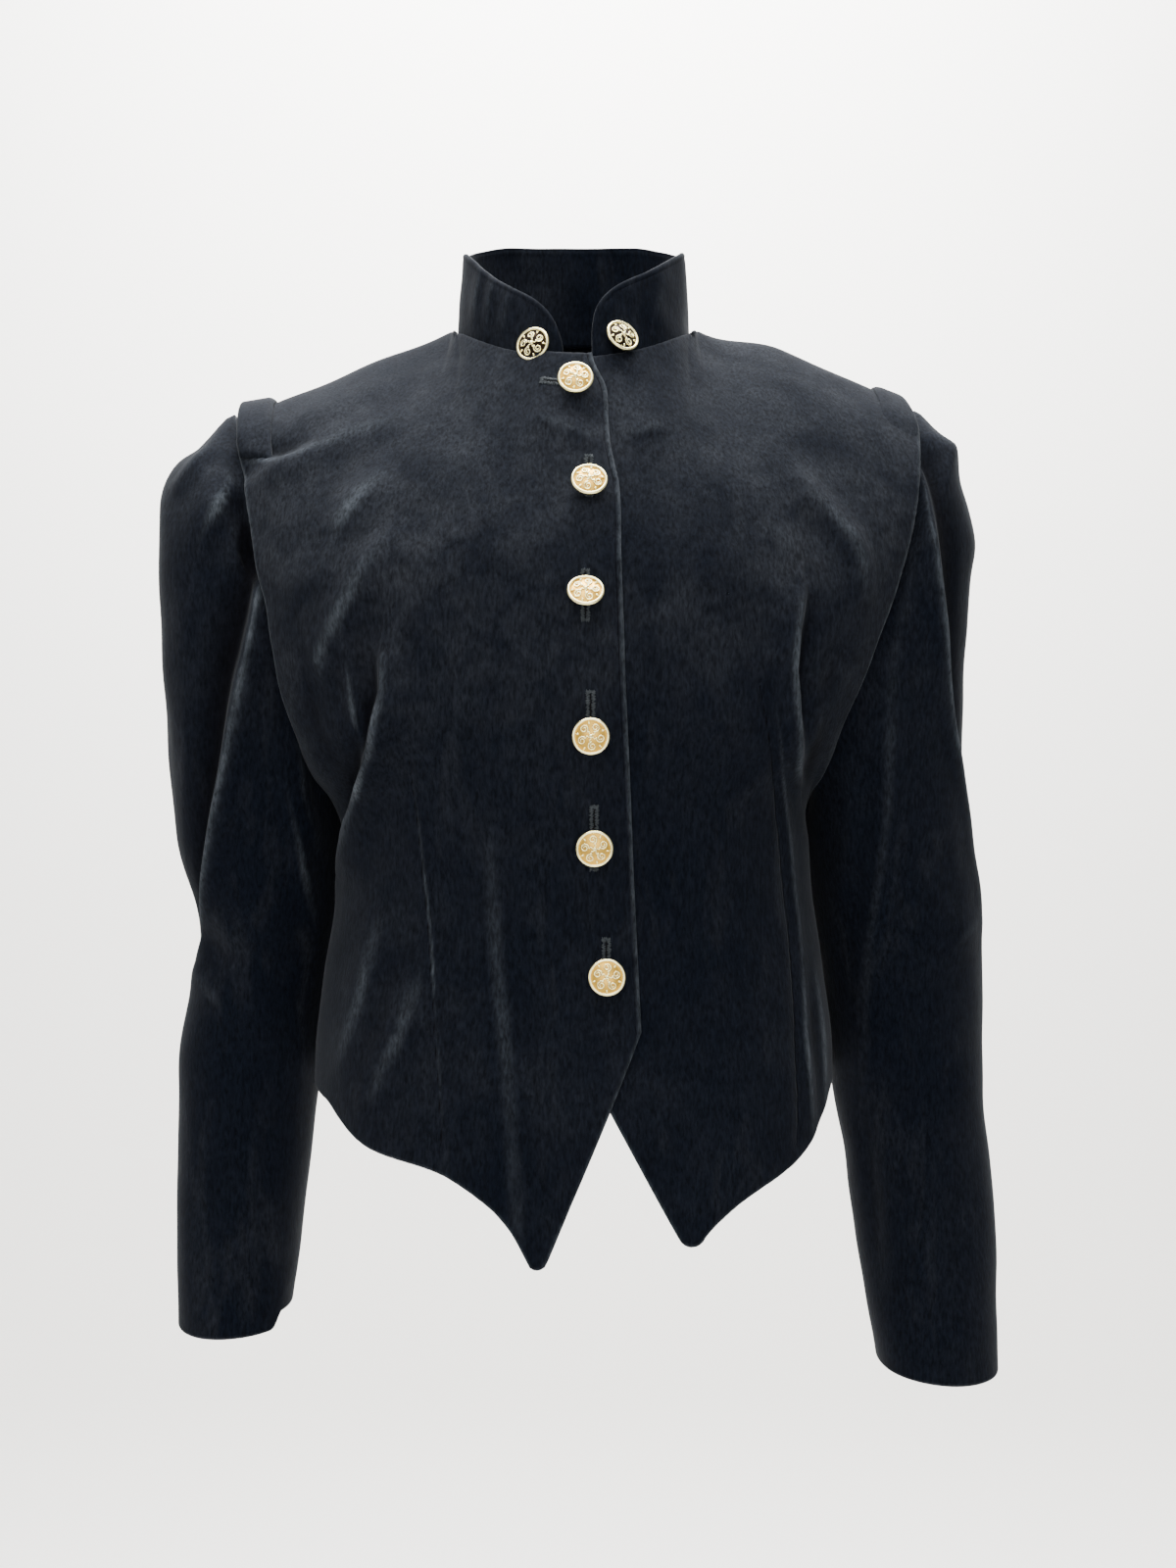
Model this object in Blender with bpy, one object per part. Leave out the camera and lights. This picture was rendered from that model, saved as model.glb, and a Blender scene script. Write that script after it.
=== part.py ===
"""Cropped velvet jacket with a stand collar, in its worn form and hollow.

Metres, +Z up. The front faces -Y, and the wearer's right side is -X. The origin is the middle of the neck
seam's sides, where the shoulders carry the jacket. Every cut piece is a wall of cloth of its own.
"""

import math

import bpy
import numpy as np
from mathutils import Matrix, Vector

# Cloth
CLOTH_WALL = 0.002
COLLAR_WALL = 0.003
SEAM_GAP = 0.0003
LAP_GAP = 0.0008
PANEL_WIDTH = 0.2
# Lap of the right front over the left: the levels between which the right front starts to stand out instead
# of the left one lying deeper, and how far across each of these moves fades out
LAP_LEVELS = (-0.120, -0.060)
LAP_FADES = {"over": (0.016, 0.030), "under": (0.050, 0.085)}

# Neck seam: half width, then front, side and back points
NECK_HALF_WIDTH = 0.079
NECK_FRONT = (-0.073, -0.036)
NECK_SIDE = (0.004, 0.001)
NECK_BACK = (0.062, 0.012)
SHOULDER_TIP = np.array((0.219, 0.012, -0.055))
NECK_SHARE = 0.44
# The left shoulder is worn higher by this much, coming in across and up the body between these limits.
SHOULDER_RAISE = 0.009
RAISE_ACROSS = (0.085, 0.135)
RAISE_LEVELS = (-0.200, -0.060)

# Panels: lowest level that a section is given for, then how far up the armhole starts and the shoulder lies
LOWEST_LEVEL = -0.580
UNDERARM_UP = 0.262
YOKE_UP = 0.528
TOP_UP = 0.565

# One row for each section, from below the hem to the upper chest or back:
# up the panel, level and depth at the centre, then across, depth and level at the side seam or armhole,
# the angle that the section has turned through there, and how full its corner is.
SECTION_COLUMNS = ("up", "z_centre", "y_centre", "x_edge", "y_edge", "z_edge", "turn", "full")
FRONT_SECTIONS = (
    (0.000, -0.580, -0.143, 0.170, -0.006, -0.580, 90.0, 0.66),
    (0.080, -0.500, -0.138, 0.167, -0.006, -0.500, 90.0, 0.66),
    (0.140, -0.440, -0.131, 0.163, -0.006, -0.440, 90.0, 0.66),
    (0.214, -0.366, -0.124, 0.153, -0.006, -0.366, 90.0, 0.64),
    (0.262, -0.318, -0.126, 0.150, -0.006, -0.318, 90.0, 0.64),
    (0.338, -0.242, -0.133, 0.165, -0.054, -0.274, 76.0, 0.62),
    (0.407, -0.173, -0.127, 0.185, -0.065, -0.214, 62.0, 0.62),
    (0.467, -0.115, -0.109, 0.200, -0.058, -0.156, 48.0, 0.60),
)
BACK_SECTIONS = (
    (0.000, -0.580, 0.116, 0.170, -0.006, -0.580, 90.0, 0.64),
    (0.080, -0.500, 0.110, 0.167, -0.006, -0.500, 90.0, 0.64),
    (0.140, -0.440, 0.100, 0.163, -0.006, -0.440, 90.0, 0.64),
    (0.214, -0.366, 0.088, 0.153, -0.006, -0.366, 90.0, 0.62),
    (0.262, -0.318, 0.092, 0.150, -0.006, -0.318, 90.0, 0.62),
    (0.338, -0.242, 0.101, 0.168, 0.050, -0.270, 76.0, 0.60),
    (0.407, -0.173, 0.107, 0.188, 0.068, -0.208, 60.0, 0.60),
    (0.467, -0.105, 0.103, 0.204, 0.064, -0.148, 45.0, 0.60),
)
# The yoke line runs below the neckline and shoulder by these steps, at the centre and at the shoulder tip,
# and its corner beside the neck is eased over this share of the panel. Beyond the neck the surface is level
# across the shoulder seam.
YOKE_EASE = 0.08
YOKE_TIP_SHARE = 0.8
SEAM_LEVEL_FROM = NECK_SHARE - 0.14
FRONT_YOKE_STEPS = (np.array((0.0, -0.014, -0.027)), np.array((-0.004, -0.040, -0.023)))
BACK_YOKE_STEPS = (np.array((0.0, 0.020, -0.042)), np.array((-0.003, 0.042, -0.024)))

# Closing edges and hems. Across is measured from the body's middle towards the front's own side.
EDGE_TOP_LEVEL = -0.060
CORNER_LEVEL = -0.440
NECK_CORNER_ROUND = (0.009, 0.030)
FRONTS = {
    "right": {
        "side": -1.0,
        "edge_top": -0.0220,
        "edge_bottom": -0.0390,
        "tip": (0.0190, -0.5725),
        "laps": "over",
        "hem_rise": (
            (0.000, 0.0000),
            (0.017, 0.0250),
            (0.032, 0.0390),
            (0.062, 0.0550),
            (0.106, 0.0635),
            (0.137, 0.0765),
            (0.158, 0.0850),
            (0.217, 0.0895),
        ),
    },
    "left": {
        "side": 1.0,
        "edge_top": -0.0160,
        "edge_bottom": -0.0010,
        "tip": (0.0665, -0.5600),
        "laps": "under",
        "hem_rise": (
            (0.000, 0.0000),
            (0.015, 0.0110),
            (0.035, 0.0245),
            (0.057, 0.0340),
            (0.085, 0.0460),
            (0.110, 0.0630),
            (0.130, 0.0740),
            (0.170, 0.0800),
        ),
    },
}
TIP_ROUND = 0.0030
TIP_COLUMNS = (-0.005, 0.0, 0.005)
TIP_UP = 0.030
CENTRE_SHARE = 0.03
BACK_HEM = (-0.484, -0.480)

# Folds of the fronts, in front view: across (towards the front's own side) and level of the two ends and
# the bend between them, then the height and the half width of the ridge. A trough has a negative height.
# A fold keeps a share of its height at its ends.
FOLD_COLUMNS = ("line", "height", "half_width")
FOLD_ENDS = 0.45
FRONT_FOLDS = {
    "right": (
        (((0.108, -0.232), (0.118, -0.275), (0.141, -0.345)), 0.0060, 0.011),
        (((0.132, -0.225), (0.142, -0.262), (0.156, -0.300)), -0.0050, 0.010),
        (((0.125, -0.130), (0.140, -0.160), (0.158, -0.190)), 0.0040, 0.014),
        (((0.092, -0.282), (0.084, -0.400), (0.070, -0.512)), -0.0020, 0.008),
    ),
    "left": (
        (((0.130, -0.190), (0.127, -0.245), (0.139, -0.320)), 0.0060, 0.011),
        (((0.158, -0.225), (0.152, -0.262), (0.150, -0.300)), -0.0050, 0.010),
        (((0.140, -0.122), (0.160, -0.150), (0.172, -0.190)), 0.0040, 0.014),
        (((0.108, -0.255), (0.124, -0.400), (0.132, -0.500)), -0.0020, 0.008),
    ),
}
# Each front stands proud of its sleeve along the armhole, from below the shoulder band to the underarm.
FLANGE_PROUD = 0.006
FLANGE_WIDTH = 0.075
FLANGE_TOP_LEVEL = -0.109
FLANGE_TOP_RISE = 0.008
FLANGE_UNDERARM = (-0.010, 0.060)

# Shoulder bands: reach across the panels, start up the front and back, height at the inner and outer edge,
# share of it at the ends, and clearance
BAND_SHARE = (0.905, 0.985)
BAND_UP = (0.514, 0.521)
BAND_HEIGHTS = {"right": (0.0040, 0.0062), "left": (0.0032, 0.0036)}
BAND_ENDS = 0.6
BAND_LIFT = 0.0009

# Collar
COLLAR_HEIGHT_BACK = 0.051
COLLAR_HEIGHT_FRONT = 0.043
COLLAR_END_RADIUS = 0.025
COLLAR_END_ANGLE = {"right": 5.0, "left": 9.0}
COLLAR_LEAN = 0.965
COLLAR_RISE = (0.02, 0.10)
COLLAR_INSET = 0.0034
COLLAR_SUNK = 0.0020

# Sleeves, one row for each ring: inner across and level, outer across and level, depth of the middle,
# reach to the front and to the back, and the angle round the ring where the long fold lies. The first ring
# shapes the puffed head, and keeps to the armhole under the arm.
SLEEVE_COLUMNS = ("x_inner", "z_inner", "x_outer", "z_outer", "y_middle", "front", "back", "fold")
SLEEVES = {
    "right": {
        "side": -1.0,
        "fold_column": 7,
        "fold_height": (0.001, 0.002, 0.004, 0.006, 0.006, 0.005, 0.002, 0.0, 0.0, 0.0),
        "rings": (
            (0.1525, -0.319, 0.2465, -0.071, 0.006, 0.066, 0.072, 98.0),
            (0.1550, -0.324, 0.2700, -0.115, 0.006, 0.064, 0.072, 106.0),
            (0.1560, -0.356, 0.2680, -0.235, 0.010, 0.065, 0.068, 124.0),
            (0.1590, -0.390, 0.2615, -0.325, 0.014, 0.061, 0.063, 146.0),
            (0.1655, -0.427, 0.2470, -0.403, 0.018, 0.054, 0.056, 166.0),
            (0.1715, -0.490, 0.2620, -0.488, 0.016, 0.047, 0.051, 166.0),
            (0.1770, -0.570, 0.2590, -0.570, 0.006, 0.043, 0.046, 166.0),
            (0.1830, -0.642, 0.2560, -0.645, -0.006, 0.039, 0.041, 166.0),
        ),
    },
    "left": {
        "side": 1.0,
        "fold_column": 10,
        "fold_height": (0.001, 0.002, 0.004, 0.006, 0.005, 0.002, 0.0, 0.0, 0.0, 0.0),
        "rings": (
            (0.1525, -0.319, 0.2480, -0.078, 0.006, 0.066, 0.072, 134.0),
            (0.1550, -0.324, 0.2565, -0.140, 0.006, 0.064, 0.072, 142.0),
            (0.1555, -0.356, 0.2540, -0.230, 0.010, 0.065, 0.068, 160.0),
            (0.1585, -0.390, 0.2565, -0.300, 0.014, 0.061, 0.063, 172.0),
            (0.1645, -0.432, 0.2665, -0.390, 0.018, 0.055, 0.056, 172.0),
            (0.1720, -0.500, 0.2690, -0.490, 0.016, 0.049, 0.051, 172.0),
            (0.1850, -0.590, 0.2750, -0.590, 0.006, 0.045, 0.047, 172.0),
            (0.1955, -0.670, 0.2735, -0.674, -0.006, 0.041, 0.042, 172.0),
        ),
    },
}
SLEEVE_STEPS = (1, 2, 2, 4, 3, 3, 2, 2, 2)
# How far the head lies under the panels, more under the flange, how far it runs in behind their edge and out
# past it; each comes in over a share of the way from the underarm to the shoulder tip.
SLEEVE_UNDER = 0.0038
SLEEVE_UNDER_FROM = (0.04, 0.18)
SLEEVE_UNDER_FLANGE = 0.0010
SLEEVE_TUCK = 0.006
SLEEVE_TUCK_FROM = (0.12, 0.30)
SLEEVE_OUT = 0.0025
SLEEVE_HEAD_FROM = (0.15, 0.80)
# Share of the long fold's height on the column of points before it, on it and past it
SLEEVE_FOLD_SHARES = {-1: 0.45, 0: 1.0, 1: -0.7}

# Buttons down the front, one row for each: level, across and tilt; all are the same shank button
BUTTON_COLUMNS = ("level", "across", "tilt")
BUTTONS = (
    (-0.0545, 0.0015, -4.0),
    (-0.1205, 0.0095, 6.0),
    (-0.1880, 0.0075, 14.0),
    (-0.2680, 0.0105, 4.0),
    (-0.3325, 0.0125, -3.0),
    (-0.4070, 0.0195, 3.0),
)
BUTTON_SIDES = 14
SEAT_STEPS = 400
SHANK_RADIUS = 0.002
# Profile of a button from the middle of its face down to the foot of its shank: radius and height
BUTTON_PROFILE = (
    (0.0000, 0.0078),
    (0.0052, 0.0071),
    (0.0088, 0.0054),
    (0.0098, 0.0056),
    (0.0108, 0.0048),
    (0.0104, 0.0038),
    (0.0050, 0.0028),
    (SHANK_RADIUS, 0.0020),
    (SHANK_RADIUS, 0.0000),
    (0.0000, 0.0000),
)
COLLAR_BUTTON_IN = 0.0175
COLLAR_BUTTON_UP = 0.0085
COLLAR_BUTTON_TILT = 14.0

# Finishes: linear colour, roughness, metallic
VELVET = ((0.006, 0.006, 0.008), 0.85, 0.0)
GILT = ((0.72, 0.55, 0.27), 0.30, 1.0)
SHARP_ANGLE = 50.0

# Panel meshes
COLUMN_SHARE = 0.062
EXTENSION_COLUMNS = 3
LOW_ROWS = 12
HIGH_ROWS = (
    UNDERARM_UP,
    0.287,
    0.312,
    0.338,
    0.363,
    0.388,
    0.412,
    0.435,
    0.457,
    0.476,
    0.490,
    0.503,
    0.517,
    0.534,
    0.549,
)
SHOULDER_ROWS = (0.557, 0.562, TOP_UP - SEAM_GAP)
BACK_COLUMNS = 20
COLLAR_COLUMNS = 44
COLLAR_CROWD = 0.25
COLLAR_ROWS = 4
BAND_COLUMNS = 4
BAND_ROWS = 5


def raised(points):
    """Points with the left shoulder raised, as it is worn a little higher than the right one."""
    lift = SHOULDER_RAISE * smooth(points[..., 0], *RAISE_ACROSS) * smooth(points[..., 2], *RAISE_LEVELS)
    moved = points.copy()
    moved[..., 2] += lift
    return moved


def column(table, names, name):
    """One named column of a table, as an array."""
    return np.array([row[names.index(name)] for row in table])


def smooth(value, start, end):
    """0 before start, 1 after end, and an even S between them."""
    t = np.clip((np.asarray(value) - start) / (end - start), 0.0, 1.0)
    return t * t * (3.0 - 2.0 * t)


def through(knots, values, at):
    """Smooth curves through values (knot, curve, axis), read at a place on each, with no overshoot."""
    gaps = np.diff(knots)[:, None, None]
    slopes = np.diff(values, axis=0) / gaps
    before, after = slopes[:-1], slopes[1:]
    weight_before = 2.0 * gaps[1:] + gaps[:-1]
    weight_after = gaps[1:] + 2.0 * gaps[:-1]
    same = before * after > 1e-12
    safe_before = np.where(same, before, 1.0)
    safe_after = np.where(same, after, 1.0)
    mean = (weight_before + weight_after) / (weight_before / safe_before + weight_after / safe_after)
    tangents = np.concatenate([slopes[:1], np.where(same, mean, 0.0), slopes[-1:]])
    at = np.clip(at, knots[0], knots[-1])
    low = np.clip(np.searchsorted(knots, at, side="right") - 1, 0, len(knots) - 2)
    curve = np.arange(len(at))
    gap = (knots[low + 1] - knots[low])[:, None]
    u = (at[:, None] - knots[low][:, None]) / gap
    return (
        (2 * u**3 - 3 * u**2 + 1) * values[low, curve]
        + (u**3 - 2 * u**2 + u) * gap * tangents[low, curve]
        + (3 * u**2 - 2 * u**3) * values[low + 1, curve]
        + (u**3 - u**2) * gap * tangents[low + 1, curve]
    )


def section_curve(section, share):
    """Points along a section at even shares of its length, from the centre line to its edge."""
    row = dict(zip(SECTION_COLUMNS, section))
    start = np.array((0.0, row["y_centre"], row["z_centre"]))
    end = np.array((row["x_edge"], row["y_edge"], row["z_edge"]))
    turn = math.radians(row["turn"])
    depth = row["y_edge"] - row["y_centre"]
    third = (row["z_edge"] - row["z_centre"]) / 3.0
    first = start + np.array((row["full"] * row["x_edge"], 0.0, third))
    reach_x = 0.5 * row["full"] * row["x_edge"] * math.cos(turn)
    second = end - np.array((reach_x, row["full"] * depth * math.sin(turn), third))

    def bezier(t):
        t = t[:, None]
        return (
            start * (1 - t) ** 3 + 3 * first * t * (1 - t) ** 2 + 3 * second * t**2 * (1 - t) + end * t**3
        )

    fine = np.linspace(0.0, 1.0, 201)
    steps = np.linalg.norm(np.diff(bezier(fine), axis=0), axis=1)
    along = np.concatenate([[0.0], np.cumsum(steps)])
    return bezier(np.interp(share, along / along[-1], fine))


def top_line(share, centre):
    """The neckline from the centre to the side of the neck, and on along the shoulder to its tip."""
    angle = np.clip(share / NECK_SHARE, 0.0, 1.0) * math.pi / 2
    neck = np.stack(
        [
            NECK_HALF_WIDTH * np.sin(angle),
            NECK_SIDE[0] + (centre[0] - NECK_SIDE[0]) * np.cos(angle),
            NECK_SIDE[1] + (centre[1] - NECK_SIDE[1]) * np.cos(angle) ** 1.5,
        ],
        axis=1,
    )
    side = np.array((NECK_HALF_WIDTH, *NECK_SIDE))
    out = np.maximum(share - NECK_SHARE, 0.0)[:, None] / (1.0 - NECK_SHARE)
    return neck + (SHOULDER_TIP - side) * out


def yoke_line(share, centre):
    """The top line with its corner at the side of the neck eased, as a mean of places beside each other."""
    line = np.zeros((len(share), 3))
    for aside in (-YOKE_EASE, 0.0, YOKE_EASE):
        beside = top_line(np.abs(share + aside), centre)
        beside[:, 0] *= np.where(share + aside < 0.0, -1.0, 1.0)
        line += beside / 3.0
    return line


def torso(sections, centre, yoke_steps, yoke_steps_beyond, share, up):
    """Points of the front or back surface. Share is 0 at the body's middle and 1 at the side; below 0 it is
    mirrored to the other side. Up runs from 0, below the hem, to TOP_UP at the neckline and shoulder, and the
    surface runs level across the shoulder seam."""
    half = np.abs(share)
    stations = [section_curve(section, half) for section in sections]
    top = top_line(half, centre)
    towards_tip = smooth(half, 0.0, YOKE_TIP_SHARE)[:, None]
    step = yoke_steps[0] + (yoke_steps[1] - yoke_steps[0]) * towards_tip
    on_shoulder = smooth(half, SEAM_LEVEL_FROM, NECK_SHARE)[:, None]
    beyond = -step + (yoke_steps_beyond[1] + step) * on_shoulder
    stations += [yoke_line(half, centre) + step, top, top + beyond]
    knots = np.concatenate([column(sections, SECTION_COLUMNS, "up"), (YOKE_UP, TOP_UP, 2 * TOP_UP - YOKE_UP)])
    points = through(knots, np.array(stations), np.asarray(up, dtype=float))
    points[:, 0] *= np.where(share < 0.0, -1.0, 1.0)
    return points


def front_torso(share, up):
    """The front surface, towards +X."""
    return torso(FRONT_SECTIONS, NECK_FRONT, FRONT_YOKE_STEPS, BACK_YOKE_STEPS, share, up)


def back_torso(share, up):
    """The back surface, towards +X."""
    return torso(BACK_SECTIONS, NECK_BACK, BACK_YOKE_STEPS, FRONT_YOKE_STEPS, share, up)


def surface_normals(surface, share, up):
    """Normals of a torso surface, to -Y at the front; the back's are turned by its caller."""
    step = 1e-4
    across = surface(share + step, up) - surface(share - step, up)
    rise = surface(share, up + step) - surface(share, up - step)
    normal = np.cross(across, rise)
    return normal / np.linalg.norm(normal, axis=1, keepdims=True)


def fold_lift(points, fold):
    """How far a fold lifts the cloth, from its distance to the fold's line in front view."""
    row = dict(zip(FOLD_COLUMNS, fold))
    line = np.array(row["line"])
    flat = points[:, (0, 2)]
    nearest = np.full(len(flat), np.inf)
    along = np.zeros(len(flat))
    for i, (start, end) in enumerate(zip(line[:-1], line[1:])):
        step = end - start
        t = np.clip((flat - start) @ step / (step @ step), 0.0, 1.0)
        away = np.linalg.norm(flat - start - t[:, None] * step, axis=1)
        along = np.where(away < nearest, (i + t) / (len(line) - 1), along)
        nearest = np.minimum(nearest, away)
    fade = FOLD_ENDS + (1.0 - FOLD_ENDS) * np.sin(math.pi * along)
    return row["height"] * fade * np.exp(-((nearest / row["half_width"]) ** 2))


def front_edge(front, level):
    """Across position of a front's closing edge at a level."""
    share = np.clip((EDGE_TOP_LEVEL - level) / (EDGE_TOP_LEVEL - CORNER_LEVEL), 0.0, 1.0)
    edge = front["edge_top"] + (front["edge_bottom"] - front["edge_top"]) * share
    depth, reach = NECK_CORNER_ROUND
    return edge + depth * smooth(level, NECK_FRONT[1] - reach, NECK_FRONT[1])


def hem_up(front, share, across, width):
    """How far up the hem lies: straight from the corner to the round tip, then in a curve up to the side."""
    tip_across, tip_level = front["tip"]
    edge = front["edge_bottom"]
    slant = CORNER_LEVEL + (tip_level - CORNER_LEVEL) * (across - edge) / (tip_across - edge)
    past = share * width - tip_across
    rise = np.array(front["hem_rise"])
    swept = tip_level + through(rise[:, 0], np.repeat(rise[:, None, 1:], len(past), axis=1), past)[:, 0]
    swept = swept + np.minimum(past, 0.0) * rise[1, 1] / rise[1, 0]
    return 0.5 * (slant + swept) + np.sqrt(0.25 * (slant - swept) ** 2 + TIP_ROUND**2) - LOWEST_LEVEL


def across_share(up):
    """Share of the front surface for each metre across, beside the centre line at a height."""
    return CENTRE_SHARE / front_torso(np.array((CENTRE_SHARE,)), np.array((up,)))[0, 0]


def front_grid(front):
    """Rows of points of a front's outer face, hem to shoulder, each from the closing edge to the side."""
    seam_share = SEAM_GAP / PANEL_WIDTH
    width = 1.0 / across_share(TIP_UP)
    tip = (front["tip"][0] + np.array(TIP_COLUMNS)) / width
    inner = np.linspace(0.0, tip[0], max(1, round(tip[0] / COLUMN_SHARE)) + 1)
    outer = np.linspace(tip[-1], 1.0 - seam_share, round((1.0 - tip[-1]) / COLUMN_SHARE) + 1)
    main = np.concatenate([inner, tip[1:], outer[1:]])
    extension = np.linspace(1.0, 0.0, EXTENSION_COLUMNS + 1)[:-1]
    rows = []
    low = [("low", q) for q in np.linspace(0.0, 1.0, LOW_ROWS + 1)[:-1]]
    high = [("high", up) for up in (*HIGH_ROWS, *SHOULDER_ROWS)]
    for kind, place in low + high:
        corner_up = CORNER_LEVEL - LOWEST_LEVEL
        centre_up = place if kind == "high" else corner_up + (UNDERARM_UP - corner_up) * place
        edge = front_edge(front, front_torso(np.zeros(1), np.array((centre_up,)))[0, 2])
        share = np.concatenate([edge * across_share(centre_up) * extension, main])
        up = np.full(len(share), centre_up)
        if kind == "low":
            across = np.concatenate([edge * extension, main * width])
            hem = hem_up(front, share, across, width)
            up = hem + (UNDERARM_UP - hem) * place
        rows.append(dress_front(front, share, up))
    return raised(np.array(rows))


def dress_front(front, share, up):
    """Points of a front with its lap, its flange along the armhole and its folds."""
    points = front_torso(share, up)
    normal = surface_normals(front_torso, share, up)
    side_name = "right" if front["side"] < 0 else "left"
    lift = sum(fold_lift(points, fold) for fold in FRONT_FOLDS[side_name])
    armhole = front_torso(np.ones(len(up)), up)
    from_armhole = np.linalg.norm(points - armhole, axis=1)
    below_band = smooth(FLANGE_TOP_LEVEL - armhole[:, 2], -FLANGE_TOP_RISE, FLANGE_TOP_RISE)
    above_underarm = smooth(up - UNDERARM_UP, *FLANGE_UNDERARM)
    near = 1.0 - smooth(from_armhole, 0.25 * FLANGE_WIDTH, FLANGE_WIDTH)
    lift = lift + FLANGE_PROUD * near * below_band * above_underarm
    lift = lift + lap_lift(front, points)
    points = points + normal * lift[:, None]
    points[:, 0] *= front["side"]
    return points


def lap_lift(front, points):
    """How far a front moves out or in where the right front lies over the left one: at the neck the right
    front stands out, and lower down the left front lies deeper."""
    across, level = points[:, 0], points[:, 2]
    at_neck = smooth(level, *LAP_LEVELS)
    covered = 1.0 - smooth(across, *LAP_FADES[front["laps"]])
    if front["laps"] == "over":
        return (CLOTH_WALL + LAP_GAP) * at_neck * covered
    return -(CLOTH_WALL + LAP_GAP) * (1.0 - at_neck) * covered


def back_grid():
    """Rows of points of the back's outer face, hem to shoulder, from -X to +X."""
    seam_share = SEAM_GAP / PANEL_WIDTH
    share = np.linspace(-1.0 + seam_share, 1.0 - seam_share, BACK_COLUMNS + 1)
    sides = smooth(np.abs(share), 0.0, 1.0)
    hem = BACK_HEM[1] + (BACK_HEM[0] - BACK_HEM[1]) * sides - LOWEST_LEVEL
    rows = []
    for place in np.linspace(0.0, 1.0, LOW_ROWS)[:-1]:
        rows.append(back_torso(share, hem + (UNDERARM_UP - hem) * place))
    for up in (*HIGH_ROWS, *SHOULDER_ROWS):
        rows.append(back_torso(share, np.full(len(share), up)))
    return raised(np.array(rows))


def armhole_loop():
    """The armhole from the underarm up the front to the shoulder tip and down the back: its points, the
    outward normals of the panels there, and the directions off the panels' edges."""
    ups = np.array((*HIGH_ROWS, TOP_UP))
    ones = np.ones(len(ups))
    front = front_torso(ones, ups)
    back = back_torso(ones, ups)
    front_normal = surface_normals(front_torso, ones - 2e-4, ups)
    back_normal = -surface_normals(back_torso, ones - 2e-4, ups)
    points = np.concatenate([front[:-1], back[:0:-1]])
    normals = np.concatenate([front_normal[:-1], back_normal[:0:-1]])
    tangents = np.roll(points, -1, axis=0) - np.roll(points, 1, axis=0)
    off_edge = np.cross(tangents, normals)
    off_edge /= np.linalg.norm(off_edge, axis=1, keepdims=True)
    return points, normals, off_edge


def sleeve_grid(sleeve):
    """Rings of points of a sleeve's outer face, from under the armhole's edge to the cuff."""
    points, normals, off_edge = armhole_loop()
    count = len(points)
    half = count // 2
    index = np.arange(count)
    from_underarm = np.minimum(index, count - index) / half
    at_front = np.where(index < half, np.sin(math.pi * index / half), 0.0)
    under = SLEEVE_UNDER * smooth(from_underarm, *SLEEVE_UNDER_FROM) + SLEEVE_UNDER_FLANGE * at_front
    tuck = SLEEVE_TUCK * smooth(from_underarm, *SLEEVE_TUCK_FROM) - SEAM_GAP
    first = points - off_edge * tuck[:, None] - normals * under[:, None]
    second = points + off_edge * SLEEVE_OUT - normals * under[:, None]
    even = 2.0 * math.pi * index / count
    fold_even = even[sleeve["fold_column"]]
    stations = [first, second]
    for number, ring in enumerate(sleeve["rings"]):
        row = dict(zip(SLEEVE_COLUMNS, ring))
        fold = math.radians(row["fold"])
        angle = np.interp(even, (0.0, fold_even, 2.0 * math.pi), (0.0, fold, 2.0 * math.pi))
        reach = np.where(np.sin(angle) > 0.0, row["front"], row["back"])
        out = 0.5 - 0.5 * np.cos(angle)
        x = row["x_inner"] + (row["x_outer"] - row["x_inner"]) * out
        z = row["z_inner"] + (row["z_outer"] - row["z_inner"]) * out
        station = np.stack([x, row["y_middle"] - reach * np.sin(angle), z], axis=1)
        if number == 0:
            at_head = smooth(from_underarm, *SLEEVE_HEAD_FROM)[:, None]
            station = station * at_head + (second + off_edge * SLEEVE_OUT) * (1.0 - at_head)
        stations.append(station)
    stations = np.array(stations)
    steps = np.linalg.norm(np.diff(stations, axis=0), axis=2).mean(axis=1)
    knots = np.concatenate([[0.0], np.cumsum(steps)])
    places = [knots[0]]
    for i, parts in enumerate(SLEEVE_STEPS):
        places.extend(np.linspace(knots[i], knots[i + 1], parts + 1)[1:])
    grid = np.array([through(knots, stations, np.full(count, place)) for place in places])
    heights = np.interp(places, knots, sleeve["fold_height"])
    grid = grid + fold_ridge(grid, heights, index - sleeve["fold_column"])
    return raised(grid * (sleeve["side"], 1.0, 1.0))


def fold_ridge(grid, heights, columns_past):
    """Moves of a sleeve's points at its long fold: out along the fold and in just past it."""
    along = np.gradient(grid, axis=0)
    around = np.roll(grid, -1, axis=1) - np.roll(grid, 1, axis=1)
    outward = np.cross(along, around)
    outward /= np.linalg.norm(outward, axis=2, keepdims=True)
    middle = grid.mean(axis=1, keepdims=True)
    outward *= np.sign(((grid - middle) * outward).sum(axis=2, keepdims=True))
    share = np.array([SLEEVE_FOLD_SHARES.get(past, 0.0) for past in columns_past.tolist()])
    return outward * (heights[:, None] * share)[:, :, None]


def neck_points(angles):
    """Neck seam from the right end (-X) round the back to the left end; angles from the front middle."""
    share = np.minimum(angles, 2.0 * math.pi - angles) / math.pi
    front = top_line(np.minimum(share * 2.0, 1.0) * NECK_SHARE, NECK_FRONT)
    back = top_line(np.minimum((1.0 - share) * 2.0, 1.0) * NECK_SHARE, NECK_BACK)
    points = np.where((share < 0.5)[:, None], front, back)
    points[:, 0] *= np.where(angles < math.pi, -1.0, 1.0)
    return points


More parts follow.
